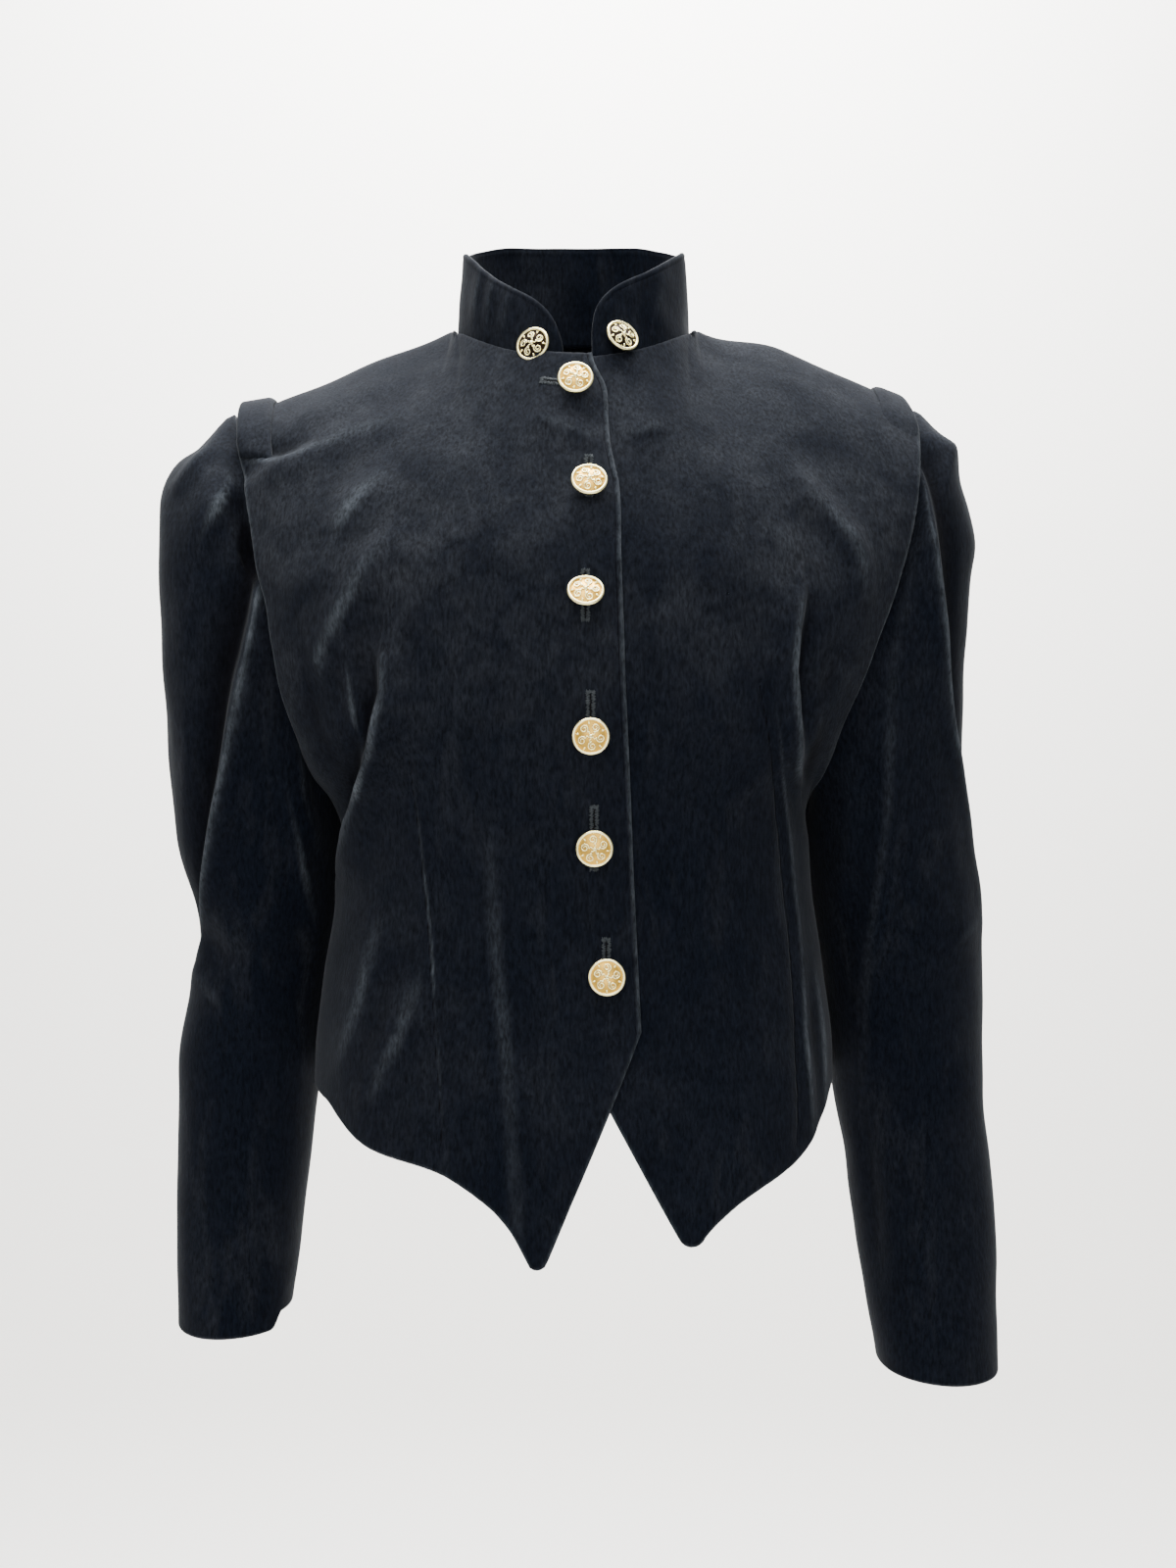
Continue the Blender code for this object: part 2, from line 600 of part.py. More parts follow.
def collar_grid():
    """Rows of points of the collar's outer face, base to top edge, from its right end to its left end."""
    start = math.radians(COLLAR_END_ANGLE["right"])
    end = 2.0 * math.pi - math.radians(COLLAR_END_ANGLE["left"])
    even = np.linspace(-1.0, 1.0, COLLAR_COLUMNS + 1)
    spread = even + COLLAR_CROWD * (np.sin(0.5 * math.pi * even) - even)
    base = neck_points(start + (end - start) * (0.5 + 0.5 * spread))
    steps = np.linalg.norm(np.diff(base, axis=0), axis=1)
    along = np.concatenate([[0.0], np.cumsum(steps)])
    from_end = np.minimum(along, along[-1] - along)
    height = COLLAR_HEIGHT_FRONT + (COLLAR_HEIGHT_BACK - COLLAR_HEIGHT_FRONT) * smooth(from_end, *COLLAR_RISE)
    inside = np.clip(COLLAR_END_RADIUS - from_end, 0.0, COLLAR_END_RADIUS)
    height = height - COLLAR_END_RADIUS + np.sqrt(COLLAR_END_RADIUS**2 - inside**2)
    rows = []
    for share in np.linspace(0.0, 1.0, COLLAR_ROWS + 1):
        row = base.copy()
        lean = (1.0 - COLLAR_LEAN) * share * (height / COLLAR_HEIGHT_BACK)
        row[:, :2] *= (1.0 - COLLAR_INSET / NECK_HALF_WIDTH - lean)[:, None]
        row[:, 2] += height * share - COLLAR_SUNK * (1.0 - share)
        rows.append(row)
    return np.array(rows)


def band_grids(side, edge_heights):
    """Rows of points under and over a shoulder band, from its front end over the shoulder to its back end."""
    share = np.linspace(*BAND_SHARE, BAND_COLUMNS + 1)
    front_ups = np.linspace(BAND_UP[0], TOP_UP, BAND_ROWS + 1)
    back_ups = np.linspace(TOP_UP, BAND_UP[1], BAND_ROWS + 1)[1:]
    front_rows = [front_torso(share, np.full(len(share), up)) for up in front_ups]
    back_rows = [back_torso(share, np.full(len(share), up)) for up in back_ups]
    rows = np.array(front_rows + back_rows)
    across = np.gradient(rows, axis=1)
    normal = np.cross(across, np.gradient(rows, axis=0))
    normal /= np.linalg.norm(normal, axis=2, keepdims=True)
    along = np.sin(math.pi * np.linspace(0.0, 1.0, len(rows)))[:, None]
    heights = np.linspace(*edge_heights, len(share)) * (BAND_ENDS + (1.0 - BAND_ENDS) * along)
    under = rows + BAND_LIFT * normal
    over = under + heights[:, :, None] * normal
    return raised(under * (side, 1.0, 1.0)), raised(over * (side, 1.0, 1.0))


def material(name, colour, roughness, metallic):
    """A plain Principled material."""
    made = bpy.data.materials.new(name)
    made.use_nodes = True
    shader = made.node_tree.nodes["Principled BSDF"]
    shader.inputs["Base Color"].default_value = (*colour, 1.0)
    shader.inputs["Roughness"].default_value = roughness
    shader.inputs["Metallic"].default_value = metallic
    return made


def add_object(name, mesh, finish, parent):
    """A named object of a mesh, shaded smooth, with its material, under the jacket's empty."""
    mesh.materials.append(finish)
    mesh.shade_smooth()
    mesh.set_sharp_from_angle(angle=math.radians(SHARP_ANGLE))
    made = bpy.data.objects.new(name, mesh)
    bpy.context.collection.objects.link(made)
    made.parent = parent
    return made


def add_wall(name, grid, finish, parent, wall=CLOTH_WALL, closed=False, flip=False):
    """A cut piece: a grid of points of its outer face, made a wall inwards with Solidify."""
    rows, columns = grid.shape[:2]
    faces = []
    for row in range(rows - 1):
        for col in range(columns if closed else columns - 1):
            beside = (col + 1) % columns
            face = (row * columns + col, row * columns + beside)
            face += ((row + 1) * columns + beside, (row + 1) * columns + col)
            faces.append(face[::-1] if flip else face)
    mesh = bpy.data.meshes.new(name)
    mesh.from_pydata(grid.reshape(-1, 3).tolist(), [], faces)
    made = add_object(name, mesh, finish, parent)
    shell = made.modifiers.new("wall", "SOLIDIFY")
    shell.thickness = wall
    shell.offset = -1.0
    return made


def add_block(name, under, over, finish, parent, flip):
    """A piece between two grids of points, closed round its rim."""
    rows, columns = under.shape[:2]
    count = rows * columns
    rim = [col for col in range(columns)]
    rim += [row * columns + columns - 1 for row in range(1, rows)]
    rim += [(rows - 1) * columns + col for col in range(columns - 2, -1, -1)]
    rim += [row * columns for row in range(rows - 2, 0, -1)]
    faces = []
    for row in range(rows - 1):
        for col in range(columns - 1):
            low = row * columns + col
            face = (low, low + 1, low + columns + 1, low + columns)
            faces.append(tuple(count + corner for corner in face))
            faces.append(face[::-1])
    for here, beside in zip(rim, rim[1:] + rim[:1]):
        faces.append((here, beside, count + beside, count + here))
    mesh = bpy.data.meshes.new(name)
    points = np.concatenate([under.reshape(-1, 3), over.reshape(-1, 3)])
    mesh.from_pydata(points.tolist(), [], [face[::-1] for face in faces] if flip else faces)
    return add_object(name, mesh, finish, parent)


def add_button(name, place, facing, finish, parent):
    """A shank button turned from its profile, with its foot at a place on the cloth."""
    mesh = bpy.data.meshes.new(name)
    edges = [(i, i + 1) for i in range(len(BUTTON_PROFILE) - 1)]
    mesh.from_pydata([(radius, 0.0, height) for radius, height in BUTTON_PROFILE], edges, [])
    made = add_object(name, mesh, finish, parent)
    turned = made.modifiers.new("turned", "SCREW")
    turned.steps = BUTTON_SIDES
    turned.render_steps = BUTTON_SIDES
    turned.use_merge_vertices = True
    turned.merge_threshold = 0.00001
    turn = Vector((0.0, 0.0, 1.0)).rotation_difference(Vector(facing))
    made.matrix_local = Matrix.Translation(Vector(place)) @ turn.to_matrix().to_4x4()
    return made


def button_seat(across, level):
    """Place and normal on the right front's outer face."""
    ups = np.linspace(TIP_UP, TOP_UP, SEAT_STEPS)
    levels = front_torso(np.zeros(len(ups)), ups)[:, 2]
    up = np.array((np.interp(level, levels, ups),))
    share = np.array((-across * across_share(up[0]),))
    point = front_torso(share, up)
    normal = surface_normals(front_torso, share, up)
    place = point + normal * lap_lift(FRONTS["right"], point)[:, None]
    mirror = (FRONTS["right"]["side"], 1.0, 1.0)
    return place[0] * mirror, normal[0] * mirror


def tilted(normal, degrees):
    """A normal turned up or down about the X axis."""
    return Matrix.Rotation(math.radians(-degrees), 3, "X") @ Vector(normal)


def add_buttons(finish, parent):
    """Six buttons down the centre front."""
    for number, (level, across, tilt) in enumerate(BUTTONS, start=1):
        place, normal = button_seat(across, level)
        clear = SEAM_GAP + SHANK_RADIUS * abs(math.sin(math.radians(tilt)))
        add_button(f"button_{number}", place + normal * clear, tilted(normal, tilt), finish, parent)


def add_collar_buttons(grid, finish, parent):
    """One button on each end of the collar."""
    for side, columns in (("right", range(len(grid[0]))), ("left", range(len(grid[0]) - 1, -1, -1))):
        base = grid[0][list(columns)]
        top = grid[-1][list(columns)]
        steps = np.linalg.norm(np.diff(base, axis=0), axis=1)
        along = np.concatenate([[0.0], np.cumsum(steps)])
        foot = np.array([np.interp(COLLAR_BUTTON_IN, along, base[:, axis]) for axis in range(3)])
        head = np.array([np.interp(COLLAR_BUTTON_IN, along, top[:, axis]) for axis in range(3)])
        rise = (head - foot) / np.linalg.norm(head - foot)
        normal = np.cross(foot - base[0], rise)
        normal *= -np.sign(normal[1]) / np.linalg.norm(normal)
        clear = SEAM_GAP + SHANK_RADIUS * math.sin(math.radians(COLLAR_BUTTON_TILT))
        place = foot + rise * COLLAR_BUTTON_UP + normal * clear
        add_button(f"collar_button_{side}", place, tilted(normal, COLLAR_BUTTON_TILT), finish, parent)


def main():
    """Builds every piece of the jacket."""
    for old in list(bpy.data.objects):
        bpy.data.objects.remove(old, do_unlink=True)
    jacket = bpy.data.objects.new("jacket", None)
    bpy.context.collection.objects.link(jacket)
    velvet = material("black_velvet", *VELVET)
    gilt = material("gilt_brass", *GILT)
    for name, front in FRONTS.items():
        add_wall(f"front_{name}", front_grid(front), velvet, jacket, flip=front["side"] < 0)
    add_wall("back", back_grid(), velvet, jacket, flip=True)
    for name, sleeve in SLEEVES.items():
        add_wall(f"sleeve_{name}", sleeve_grid(sleeve), velvet, jacket, closed=True, flip=sleeve["side"] > 0)
    collar = collar_grid()
    add_wall("collar", collar, velvet, jacket, wall=COLLAR_WALL, flip=True)
    for name, side in (("right", -1.0), ("left", 1.0)):
        under, over = band_grids(side, BAND_HEIGHTS[name])
        add_block(f"shoulder_band_{name}", under, over, velvet, jacket, flip=side < 0)
    add_buttons(gilt, jacket)
    add_collar_buttons(collar, gilt, jacket)


main()
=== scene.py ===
"""Dressed model of a cropped black velvet jacket with a stand collar, in its worn form and hollow.

Each cut piece is a thin shell of cloth on the form of its solid, with finer folds, turned edges and stitched
lines. Sizes are in metres, or in millimetres where a class says so. +Z is up, the front faces -Y, and the
jacket's own right side is -X.
"""

import logging
import math
from dataclasses import dataclass, field
from enum import Enum
from typing import Any, ClassVar, Sequence

import bpy
import numpy as np
from mathutils import Matrix, Vector
from mathutils.kdtree import KDTree


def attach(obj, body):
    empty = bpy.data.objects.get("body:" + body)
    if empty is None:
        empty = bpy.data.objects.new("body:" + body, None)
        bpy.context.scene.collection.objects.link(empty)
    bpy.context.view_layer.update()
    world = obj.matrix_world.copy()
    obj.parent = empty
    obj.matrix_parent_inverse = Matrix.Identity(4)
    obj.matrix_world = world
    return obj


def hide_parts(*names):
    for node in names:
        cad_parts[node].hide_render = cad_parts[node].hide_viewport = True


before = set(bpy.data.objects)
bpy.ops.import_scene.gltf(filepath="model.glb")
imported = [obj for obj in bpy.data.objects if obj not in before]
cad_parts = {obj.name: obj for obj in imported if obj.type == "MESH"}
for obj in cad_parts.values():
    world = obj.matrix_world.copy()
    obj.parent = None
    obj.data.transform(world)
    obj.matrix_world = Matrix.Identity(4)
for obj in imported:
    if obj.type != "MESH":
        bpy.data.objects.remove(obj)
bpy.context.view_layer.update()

LOG = logging.getLogger("jacket")

Array = np.ndarray
Pair = tuple[float, float]
Triple = tuple[float, float, float]
Line = tuple[Pair, ...]
Material = bpy.types.Material
Piece = bpy.types.Object

# Distances from a turned edge at which a grid has extra rows or columns to round it
EDGE_STEPS = (0.0004, 0.0009, 0.0015, 0.0022, 0.0030, 0.0038, 0.0048, 0.0062)
# Gap that a seam leaves, and the width of a panel that turns it to a share
SEAM_GAP = 0.0003
PANEL_WIDTH = 0.2
# Axes across and up in front view
FLAT_AXES = (0, 2)
# Step of a share that gives directions on a surface
SHARE_STEP = 2e-4
# Points on a curve that is read at even lengths, and on one that is searched for a place
CURVE_STEPS = 401
SEARCH_STEPS = 800
TINY = 1e-12
MM = 1000.0
# Millimetres to a stitched line or an edge that a piece doesn't have
FAR = 99.0


def smooth(value: Any, start: float, end: float) -> Array:
    """Rises in an S from 0 at the start to 1 at the end."""
    t = np.clip((np.asarray(value) - start) / (end - start), 0.0, 1.0)
    return t * t * (3.0 - 2.0 * t)


def bell(distance: Array, width: Any) -> Array:
    """A bell curve: 1 at no distance, and falling softly on both sides."""
    return np.exp(-((distance / width) ** 2))


def through(knots: Array, values: Array, at: Array) -> Array:
    """Reads smooth curves through values with no overshoot, one place on each curve.

    Args:
        knots: Places of the values.
        values: Values by knot, curve and axis.
        at: One place for each curve.

    Returns:
        One point for each curve.
    """
    gaps = np.diff(knots)[:, None, None]
    slopes = np.diff(values, axis=0) / gaps
    before, after = slopes[:-1], slopes[1:]
    weight_before = 2.0 * gaps[1:] + gaps[:-1]
    weight_after = gaps[1:] + 2.0 * gaps[:-1]
    same = before * after > TINY
    safe_before = np.where(same, before, 1.0)
    safe_after = np.where(same, after, 1.0)
    mean = (weight_before + weight_after) / (weight_before / safe_before + weight_after / safe_after)
    tangents = np.concatenate([slopes[:1], np.where(same, mean, 0.0), slopes[-1:]])
    at = np.clip(at, knots[0], knots[-1])
    low = np.clip(np.searchsorted(knots, at, side="right") - 1, 0, len(knots) - 2)
    curve = np.arange(len(at))
    gap = (knots[low + 1] - knots[low])[:, None]
    u = (at[:, None] - knots[low][:, None]) / gap
    return (
        (2 * u**3 - 3 * u**2 + 1) * values[low, curve]
        + (u**3 - 2 * u**2 + u) * gap * tangents[low, curve]
        + (3 * u**2 - 2 * u**3) * values[low + 1, curve]
        + (u**3 - u**2) * gap * tangents[low + 1, curve]
    )


def read_table(table: Sequence[Sequence[float]], at: Array) -> Array:
    """Reads a table of places and values as a smooth curve.

    Args:
        table: Rows of a place and its value.
        at: Places to read.

    Returns:
        Values in the shape of the places.
    """
    rows = np.array(table, dtype=float)
    flat = np.asarray(at, dtype=float).reshape(-1)
    values = np.repeat(rows[:, None, 1:], len(flat), axis=1)
    return through(rows[:, 0], values, flat)[:, 0].reshape(np.shape(at))


def spread(count: int, length: float, near_start: bool, near_end: bool) -> Array:
    """Places from 0 to 1, even in the middle and closer beside turned edges.

    Args:
        count: Even steps.
        length: Length that the places share out.
        near_start: Whether the start is a turned edge.
        near_end: Whether the end is a turned edge.

    Returns:
        Places in order.
    """
    places = np.linspace(0.0, 1.0, count + 1)
    extra = np.array(EDGE_STEPS) / length
    clear = extra[-1] + 0.5 / count
    if near_start:
        places = np.concatenate([[0.0], extra, places[places > clear]])
    if near_end:
        places = np.concatenate([places[places < 1.0 - clear], 1.0 - extra[::-1], [1.0]])
    return places


def unit(vectors: Array) -> Array:
    """Vectors made one long."""
    return vectors / np.maximum(np.linalg.norm(vectors, axis=-1, keepdims=True), TINY)


def line_distance(flat: Array, line: Line) -> tuple[Array, Array]:
    """Distance from points to a line of straight stretches, in a plane.

    Args:
        flat: Points, two numbers each.
        line: Corners of the line.

    Returns:
        Signed distances, positive on the left of the line's direction, and shares along the line.
    """
    corners = np.array(line, dtype=float)
    nearest = np.full(len(flat), np.inf)
    signed = np.zeros(len(flat))
    along = np.zeros(len(flat))
    for i, (start, end) in enumerate(zip(corners[:-1], corners[1:])):
        step = end - start
        away = flat - start
        t = np.clip(away @ step / (step @ step), 0.0, 1.0)
        distance = np.linalg.norm(away - t[:, None] * step, axis=1)
        side = np.sign(step[0] * away[:, 1] - step[1] * away[:, 0])
        closer = distance < nearest
        signed = np.where(closer, side * distance, signed)
        along = np.where(closer, (i + t) / (len(corners) - 1), along)
        nearest = np.minimum(nearest, distance)
    return signed, along


def lengths_along(line: Array) -> Array:
    """Distances along a line from its start to each of its corners."""
    return np.concatenate([[0.0], np.cumsum(np.linalg.norm(np.diff(line, axis=0), axis=1))])


def read_line(line: Array, marks: Array, at: Any) -> Array:
    """Points of a line at places among the rising marks of its corners, in the places' shape."""
    return np.stack([np.interp(at, marks, axis) for axis in line.T], axis=-1)


def even_line(line: Array, shares: Array) -> Array:
    """Points on a line by their shares of its length."""
    along = lengths_along(line)
    return read_line(line, along / along[-1], shares)


def edge_distance(points: Array, lines: Sequence[Array]) -> Array:
    """Distance from points to the nearest of some edges.

    Args:
        points: Points of any shape.
        lines: Edges, each a row of points.

    Returns:
        Distances in the points' shape.
    """
    dense = []
    for line in lines:
        along = lengths_along(line)
        at = np.linspace(0.0, along[-1], max(2, int(along[-1] / EDGE_STEPS[0])))
        dense.append(read_line(line, along, at))
    every = np.concatenate(dense)
    tree = KDTree(len(every))
    for i, point in enumerate(every.tolist()):
        tree.insert(point, i)
    tree.balance()
    flat = points.reshape(-1, 3).tolist()
    return np.array([tree.find(point)[2] for point in flat]).reshape(points.shape[:-1])


class FoldKind(Enum):
    """How a fold rises from the cloth."""

    SOFT = "soft"
    STEP = "step"


@dataclass(frozen=True)
class Fold:
    """A crease of the cloth, drawn across and up in front view, in millimetres.

    A trough has a negative height. A step is steep on one side, where the cloth folds over itself, and soft
    on the left of its line. Mark says how strong the painted highlight on the crest and the painted shade in
    the trough are, and ends how high it starts.
    """

    line: Line
    height: float
    width: float
    mark: float = 0.28
    kind: FoldKind = FoldKind.SOFT
    ends: float = 0.15

    END_POWER: ClassVar[float] = 0.7
    STEEP_SHARE: ClassVar[float] = 0.24
    UNDERCUT: ClassVar[float] = 0.50
    # Strength of the painted shade on the flanks of a soft fold
    FLANK_MARK: ClassVar[float] = 0.45
    # Widths of the painted highlight on crests: of a soft fold, and of the soft and the steep side of a step
    CREST_WIDTHS: ClassVar[Triple] = (0.55, 0.30, 0.50)
    # Place and width, counted in widths of a soft fold or of a step's steep side: of the painted shade on its
    # flanks, of the undercut, and of the painted shade below a step
    SOFT_FLANK: ClassVar[Pair] = (1.5, 0.7)
    STEP_UNDERCUT: ClassVar[Pair] = (2.8, 1.7)
    STEP_TROUGH: ClassVar[Pair] = (2.2, 1.6)

    def shape(self, flat: Array) -> tuple[Array, Array]:
        """How far the fold moves the cloth out, and how far places lie on its crest or in its trough, as
        painted highlight and shade.

        Args:
            flat: Places in front view, in millimetres.

        Returns:
            Millimetres, negative inwards, and marks, up to 1 for painted highlight on the crest and down to
            -1 for painted shade in the trough.
        """
        signed, along = line_distance(flat, self.line)
        rise = bell(signed, self.width)
        whole, gentle, sharp = self.CREST_WIDTHS
        if self.kind is FoldKind.SOFT:
            place, width = (self.width * number for number in self.SOFT_FLANK)
            ridge = bell(signed, whole * self.width)
            trough = self.FLANK_MARK * bell(np.abs(signed) - place, width)
        else:
            steep = self.width * self.STEEP_SHARE
            place, width = (steep * number for number in self.STEP_UNDERCUT)
            under = self.UNDERCUT * bell(signed + place, width)
            rise = np.where(signed > 0.0, rise, bell(signed, steep)) - under
            place, width = (steep * number for number in self.STEP_TROUGH)
            ridge = bell(signed, np.where(signed > 0.0, gentle * self.width, sharp * steep))
            trough = bell(signed + place, width)
        fade = self.ends + (1.0 - self.ends) * np.sin(math.pi * along) ** self.END_POWER
        mark = math.copysign(self.mark, self.height)
        return self.height * fade * rise, mark * fade * (ridge - trough)


def fold_lifts(folds: Sequence[Fold], points: Array) -> Array:
    """How far folds move the cloth out at points of any shape."""
    flat = points.reshape(-1, 3)[:, FLAT_AXES] * MM
    return sum(fold.shape(flat)[0] for fold in folds).reshape(points.shape[:-1]) / MM


def painted_fold_marks(folds: Sequence[Fold], points: Array) -> Array:
    """Marks from -1 for painted shade in the troughs to 1 for painted highlight on the crests of folds, at
    points of any shape.
    """
    flat = points.reshape(-1, 3)[:, FLAT_AXES] * MM
    return np.clip(sum(fold.shape(flat)[1] for fold in folds), -1.0, 1.0).reshape(points.shape[:-1])


@dataclass(frozen=True)
class Ripple:
    """Uneven swell of cloth: a few waves of random direction and phase, with a fixed seed."""

    height: float
    longest: float
    shortest: float
    seed: int
    waves: int = 14

    def lift(self, points: Array) -> Array:
        """How far the swell moves the cloth out.

        Args:
            points: Points of any shape.

        Returns:
            Distances in the points' shape, negative inwards.
        """
        rng = np.random.default_rng(self.seed)
        total = np.zeros(points.shape[:-1])
        for length in np.geomspace(self.longest, self.shortest, self.waves):
            direction = unit(rng.normal(size=3))
            phase = rng.uniform(0.0, 2.0 * math.pi)
            total += length / self.longest * np.sin(points @ direction * 2.0 * math.pi / length + phase)
        return self.height * total / math.sqrt(0.5 * self.waves)


@dataclass(frozen=True)
class Pull:
    """A place in front view where the cloth is drawn across and up, less with distance."""

    across: float
    up: float
    move_across: float
    move_up: float
    reach: float

    def move(self, points: Array) -> Array:
        """Moves of points, whatever their depth."""
        away = np.hypot(points[..., 0] - self.across, points[..., 2] - self.up)
        return bell(away, self.reach)[..., None] * np.array((self.move_across, 0.0, self.move_up))


@dataclass(frozen=True)
class Section:
    """One section of a panel from its centre line to its side seam or armhole, in millimetres.

    Up is its height on the panel; turn is the angle that it has turned through at its edge, and full how full
    its corner is.
    """

    up: float
    z_centre: float
    y_centre: float
    x_edge: float
    y_edge: float
    z_edge: float
    turn: float
    full: float

    EDGE_HANDLE: ClassVar[float] = 0.5

    def points(self, share: Array) -> Array:
        """Points on the section, a curve with a handle at each end.

        Args:
            share: Shares of the section's length.

        Returns:
            One point for each share.
        """
        start = np.array((0.0, self.y_centre, self.z_centre)) / MM
        end = np.array((self.x_edge, self.y_edge, self.z_edge)) / MM
        turn = math.radians(self.turn)
        third = (end[2] - start[2]) / 3.0
        reach_x = self.EDGE_HANDLE * self.full * end[0] * math.cos(turn)
        reach_y = self.full * (end[1] - start[1]) * math.sin(turn)
        first = start + np.array((self.full * end[0], 0.0, third))
        second = end - np.array((reach_x, reach_y, third))
        fine = np.linspace(0.0, 1.0, CURVE_STEPS)[:, None]
        curve = start * (1 - fine) ** 3 + 3 * first * fine * (1 - fine) ** 2
        return even_line(curve + 3 * second * fine**2 * (1 - fine) + end * fine**3, share)


@dataclass(frozen=True)
class Shoulders:
    """The neck seam and the shoulders: the line that both panels end at, and how the jacket hangs from it.

    The left shoulder is raised. A drift gives, by level, how far the front armhole of a side is pulled to +X.
    """

    half_width: float = 0.079
    side: Pair = (0.004, 0.001)
    tip: Triple = (0.219, 0.012, -0.055)
    neck_share: float = 0.44
    neck_power: float = 1.5
    ease: float = 0.08
    left_raise: float = 0.009
    raise_across: Pair = (0.085, 0.135)
    raise_levels: Pair = (-0.200, -0.060)
    armhole_across: Line = (
        (-0.34, 0.15), (-0.318, 0.15), (-0.274, 0.165), (-0.214, 0.185), (-0.156, 0.2), (-0.08, 0.206),
        (-0.04, 0.206),
    )
    right_drift: Line = (
        (-0.33, 0.0), (-0.306, -0.002), (-0.284, 0.0012), (-0.236, 0.003), (-0.212, 0.0062),
        (-0.19, 0.0078), (-0.164, 0.006), (-0.116, 0.0054), (-0.1, 0.0028), (-0.08, 0.0),
    )
    left_drift: Line = (
        (-0.33, 0.0), (-0.3, -0.004), (-0.284, -0.0078), (-0.26, -0.009), (-0.236, -0.0072),
        (-0.212, -0.0048), (-0.182, 0.0), (-0.152, 0.0036), (-0.128, 0.0056), (-0.104, 0.0066),
        (-0.08, 0.0062), (-0.05, 0.003),
    )
    drift_width: float = 0.030
    drift_depths: Pair = (-0.005, 0.030)

    def top_line(self, share: Array, centre: Pair) -> Array:
        """The neckline to the side of the neck, and on along the shoulder to its tip.

        Args:
            share: Shares of a panel, from its middle.
            centre: Depth and level of the neckline at the middle.

        Returns:
            One point for each share.
        """
        angle = np.clip(share / self.neck_share, 0.0, 1.0) * math.pi / 2
        depth = self.side[0] + (centre[0] - self.side[0]) * np.cos(angle)
        level = self.side[1] + (centre[1] - self.side[1]) * np.cos(angle) ** self.neck_power
        neck = np.stack([self.half_width * np.sin(angle), depth, level], axis=1)
        out = np.maximum(share - self.neck_share, 0.0)[:, None] / (1.0 - self.neck_share)
        return neck + (np.array(self.tip) - np.array((self.half_width, *self.side))) * out

    def worn(self, points: Array) -> Array:
        """Sets points as worn: the left shoulder a little higher, and the front armholes pulled to one side.

        Args:
            points: Points of any shape.

        Returns:
            The points moved.
        """
        across, depth, level = np.moveaxis(points, -1, 0)
        moved = points.copy()
        raised = smooth(across, *self.raise_across) * smooth(level, *self.raise_levels)
        moved[..., 2] += self.left_raise * raised
        away = np.abs(across) - read_table(self.armhole_across, level)
        near = bell(away, self.drift_width) * smooth(-depth, *self.drift_depths)
        right, left = (read_table(drift, level) for drift in (self.right_drift, self.left_drift))
        moved[..., 0] += np.where(across < 0.0, right, left) * near
        return moved


SHOULDERS = Shoulders()


@dataclass(frozen=True)
class Torso:
    """The front or back surface of the body.

    Share runs from 0 at the middle to 1 at the side seam and armhole, and below 0 on the other side. Up runs
    from 0, below the hem, to top_up at the neckline and shoulder.
    """

    sections: tuple[Section, ...]
    neck_centre: Pair
    yoke_steps: tuple[Triple, Triple]
    beyond_tip: Triple
    facing: float
    lowest: float = -0.580
    underarm_up: float = 0.262
    yoke_up: float = 0.528
    top_up: float = 0.565
    yoke_tip_share: float = 0.8
    level_from: float = 0.30
    centre_share: float = 0.03
    neck_trim: float = 0.006
    trim_before: Pair = (0.14, 0.04)

    def points(self, share: Array, up: Array) -> Array:
        """Points of the surface.

        Args:
            share: Shares across.
            up: Heights, in the same shape.

        Returns:
            One point for each place.
        """
        flat_share, flat_up = share.reshape(-1), up.reshape(-1)
        half = np.abs(flat_share)
        top = SHOULDERS.top_line(half, self.neck_centre)
        centre_step, tip_step = (np.array(step) for step in self.yoke_steps)
        step = centre_step + (tip_step - centre_step) * smooth(half, 0.0, self.yoke_tip_share)[:, None]
        on_shoulder = smooth(half, self.level_from, SHOULDERS.neck_share)[:, None]
        beyond = -step + (np.array(self.beyond_tip) + step) * on_shoulder
        # The yoke follows the top line, with its corner beside the neck eased
        yoke = np.zeros(top.shape)
        for aside in (-SHOULDERS.ease, 0.0, SHOULDERS.ease):
            beside = SHOULDERS.top_line(np.abs(half + aside), self.neck_centre)
            beside[:, 0] *= np.where(half + aside < 0.0, -1.0, 1.0)
            yoke += beside / 3.0
        stations = [section.points(half) for section in self.sections]
        stations += [yoke + step, top, top + beyond]
        knots = [section.up / MM for section in self.sections]
        knots += [self.yoke_up, self.top_up, 2.0 * self.top_up - self.yoke_up]
        made = through(np.array(knots), np.array(stations), flat_up)
        made[:, 0] *= np.where(flat_share < 0.0, -1.0, 1.0)
        return made.reshape((*share.shape, 3))

    def normals(self, share: Array, up: Array) -> Array:
        """Outward normals of the surface.

        Args:
            share: Shares across.
            up: Heights, in the same shape.

        Returns:
            One normal for each place.
        """
        across = self.points(share + SHARE_STEP, up) - self.points(share - SHARE_STEP, up)
        rise = self.points(share, up + SHARE_STEP) - self.points(share, up - SHARE_STEP)
        return self.facing * unit(np.cross(across, rise))

    def top(self, share: Array) -> Array:
        """Height that a panel is cut to, a little short where the neckline runs up beside the neck.

        Args:
            share: Shares across.

        Returns:
            One height for each share.
        """
        half = np.abs(share)
        corner = SHOULDERS.neck_share
        start, end = (corner - before for before in self.trim_before)
        beside = smooth(half, start, end) * (half < corner)
        return self.top_up - SEAM_GAP - self.neck_trim * beside

    def across_share(self, up: Array) -> Array:
        """Share for each metre across, beside the centre line at heights."""
        up = np.asarray(up, dtype=float)
        return self.centre_share / self.points(np.full(up.shape, self.centre_share), up)[..., 0]

    def row_places(self, low_rows: int, high_rows: int) -> tuple[Array, Array]:
        """Places of a panel's rows from 0 to 1, from the hem to the underarm and from there to the top."""
        low = spread(low_rows, self.underarm_up, True, False)[:-1]
        return low, spread(high_rows, self.top_up - self.underarm_up, False, True)


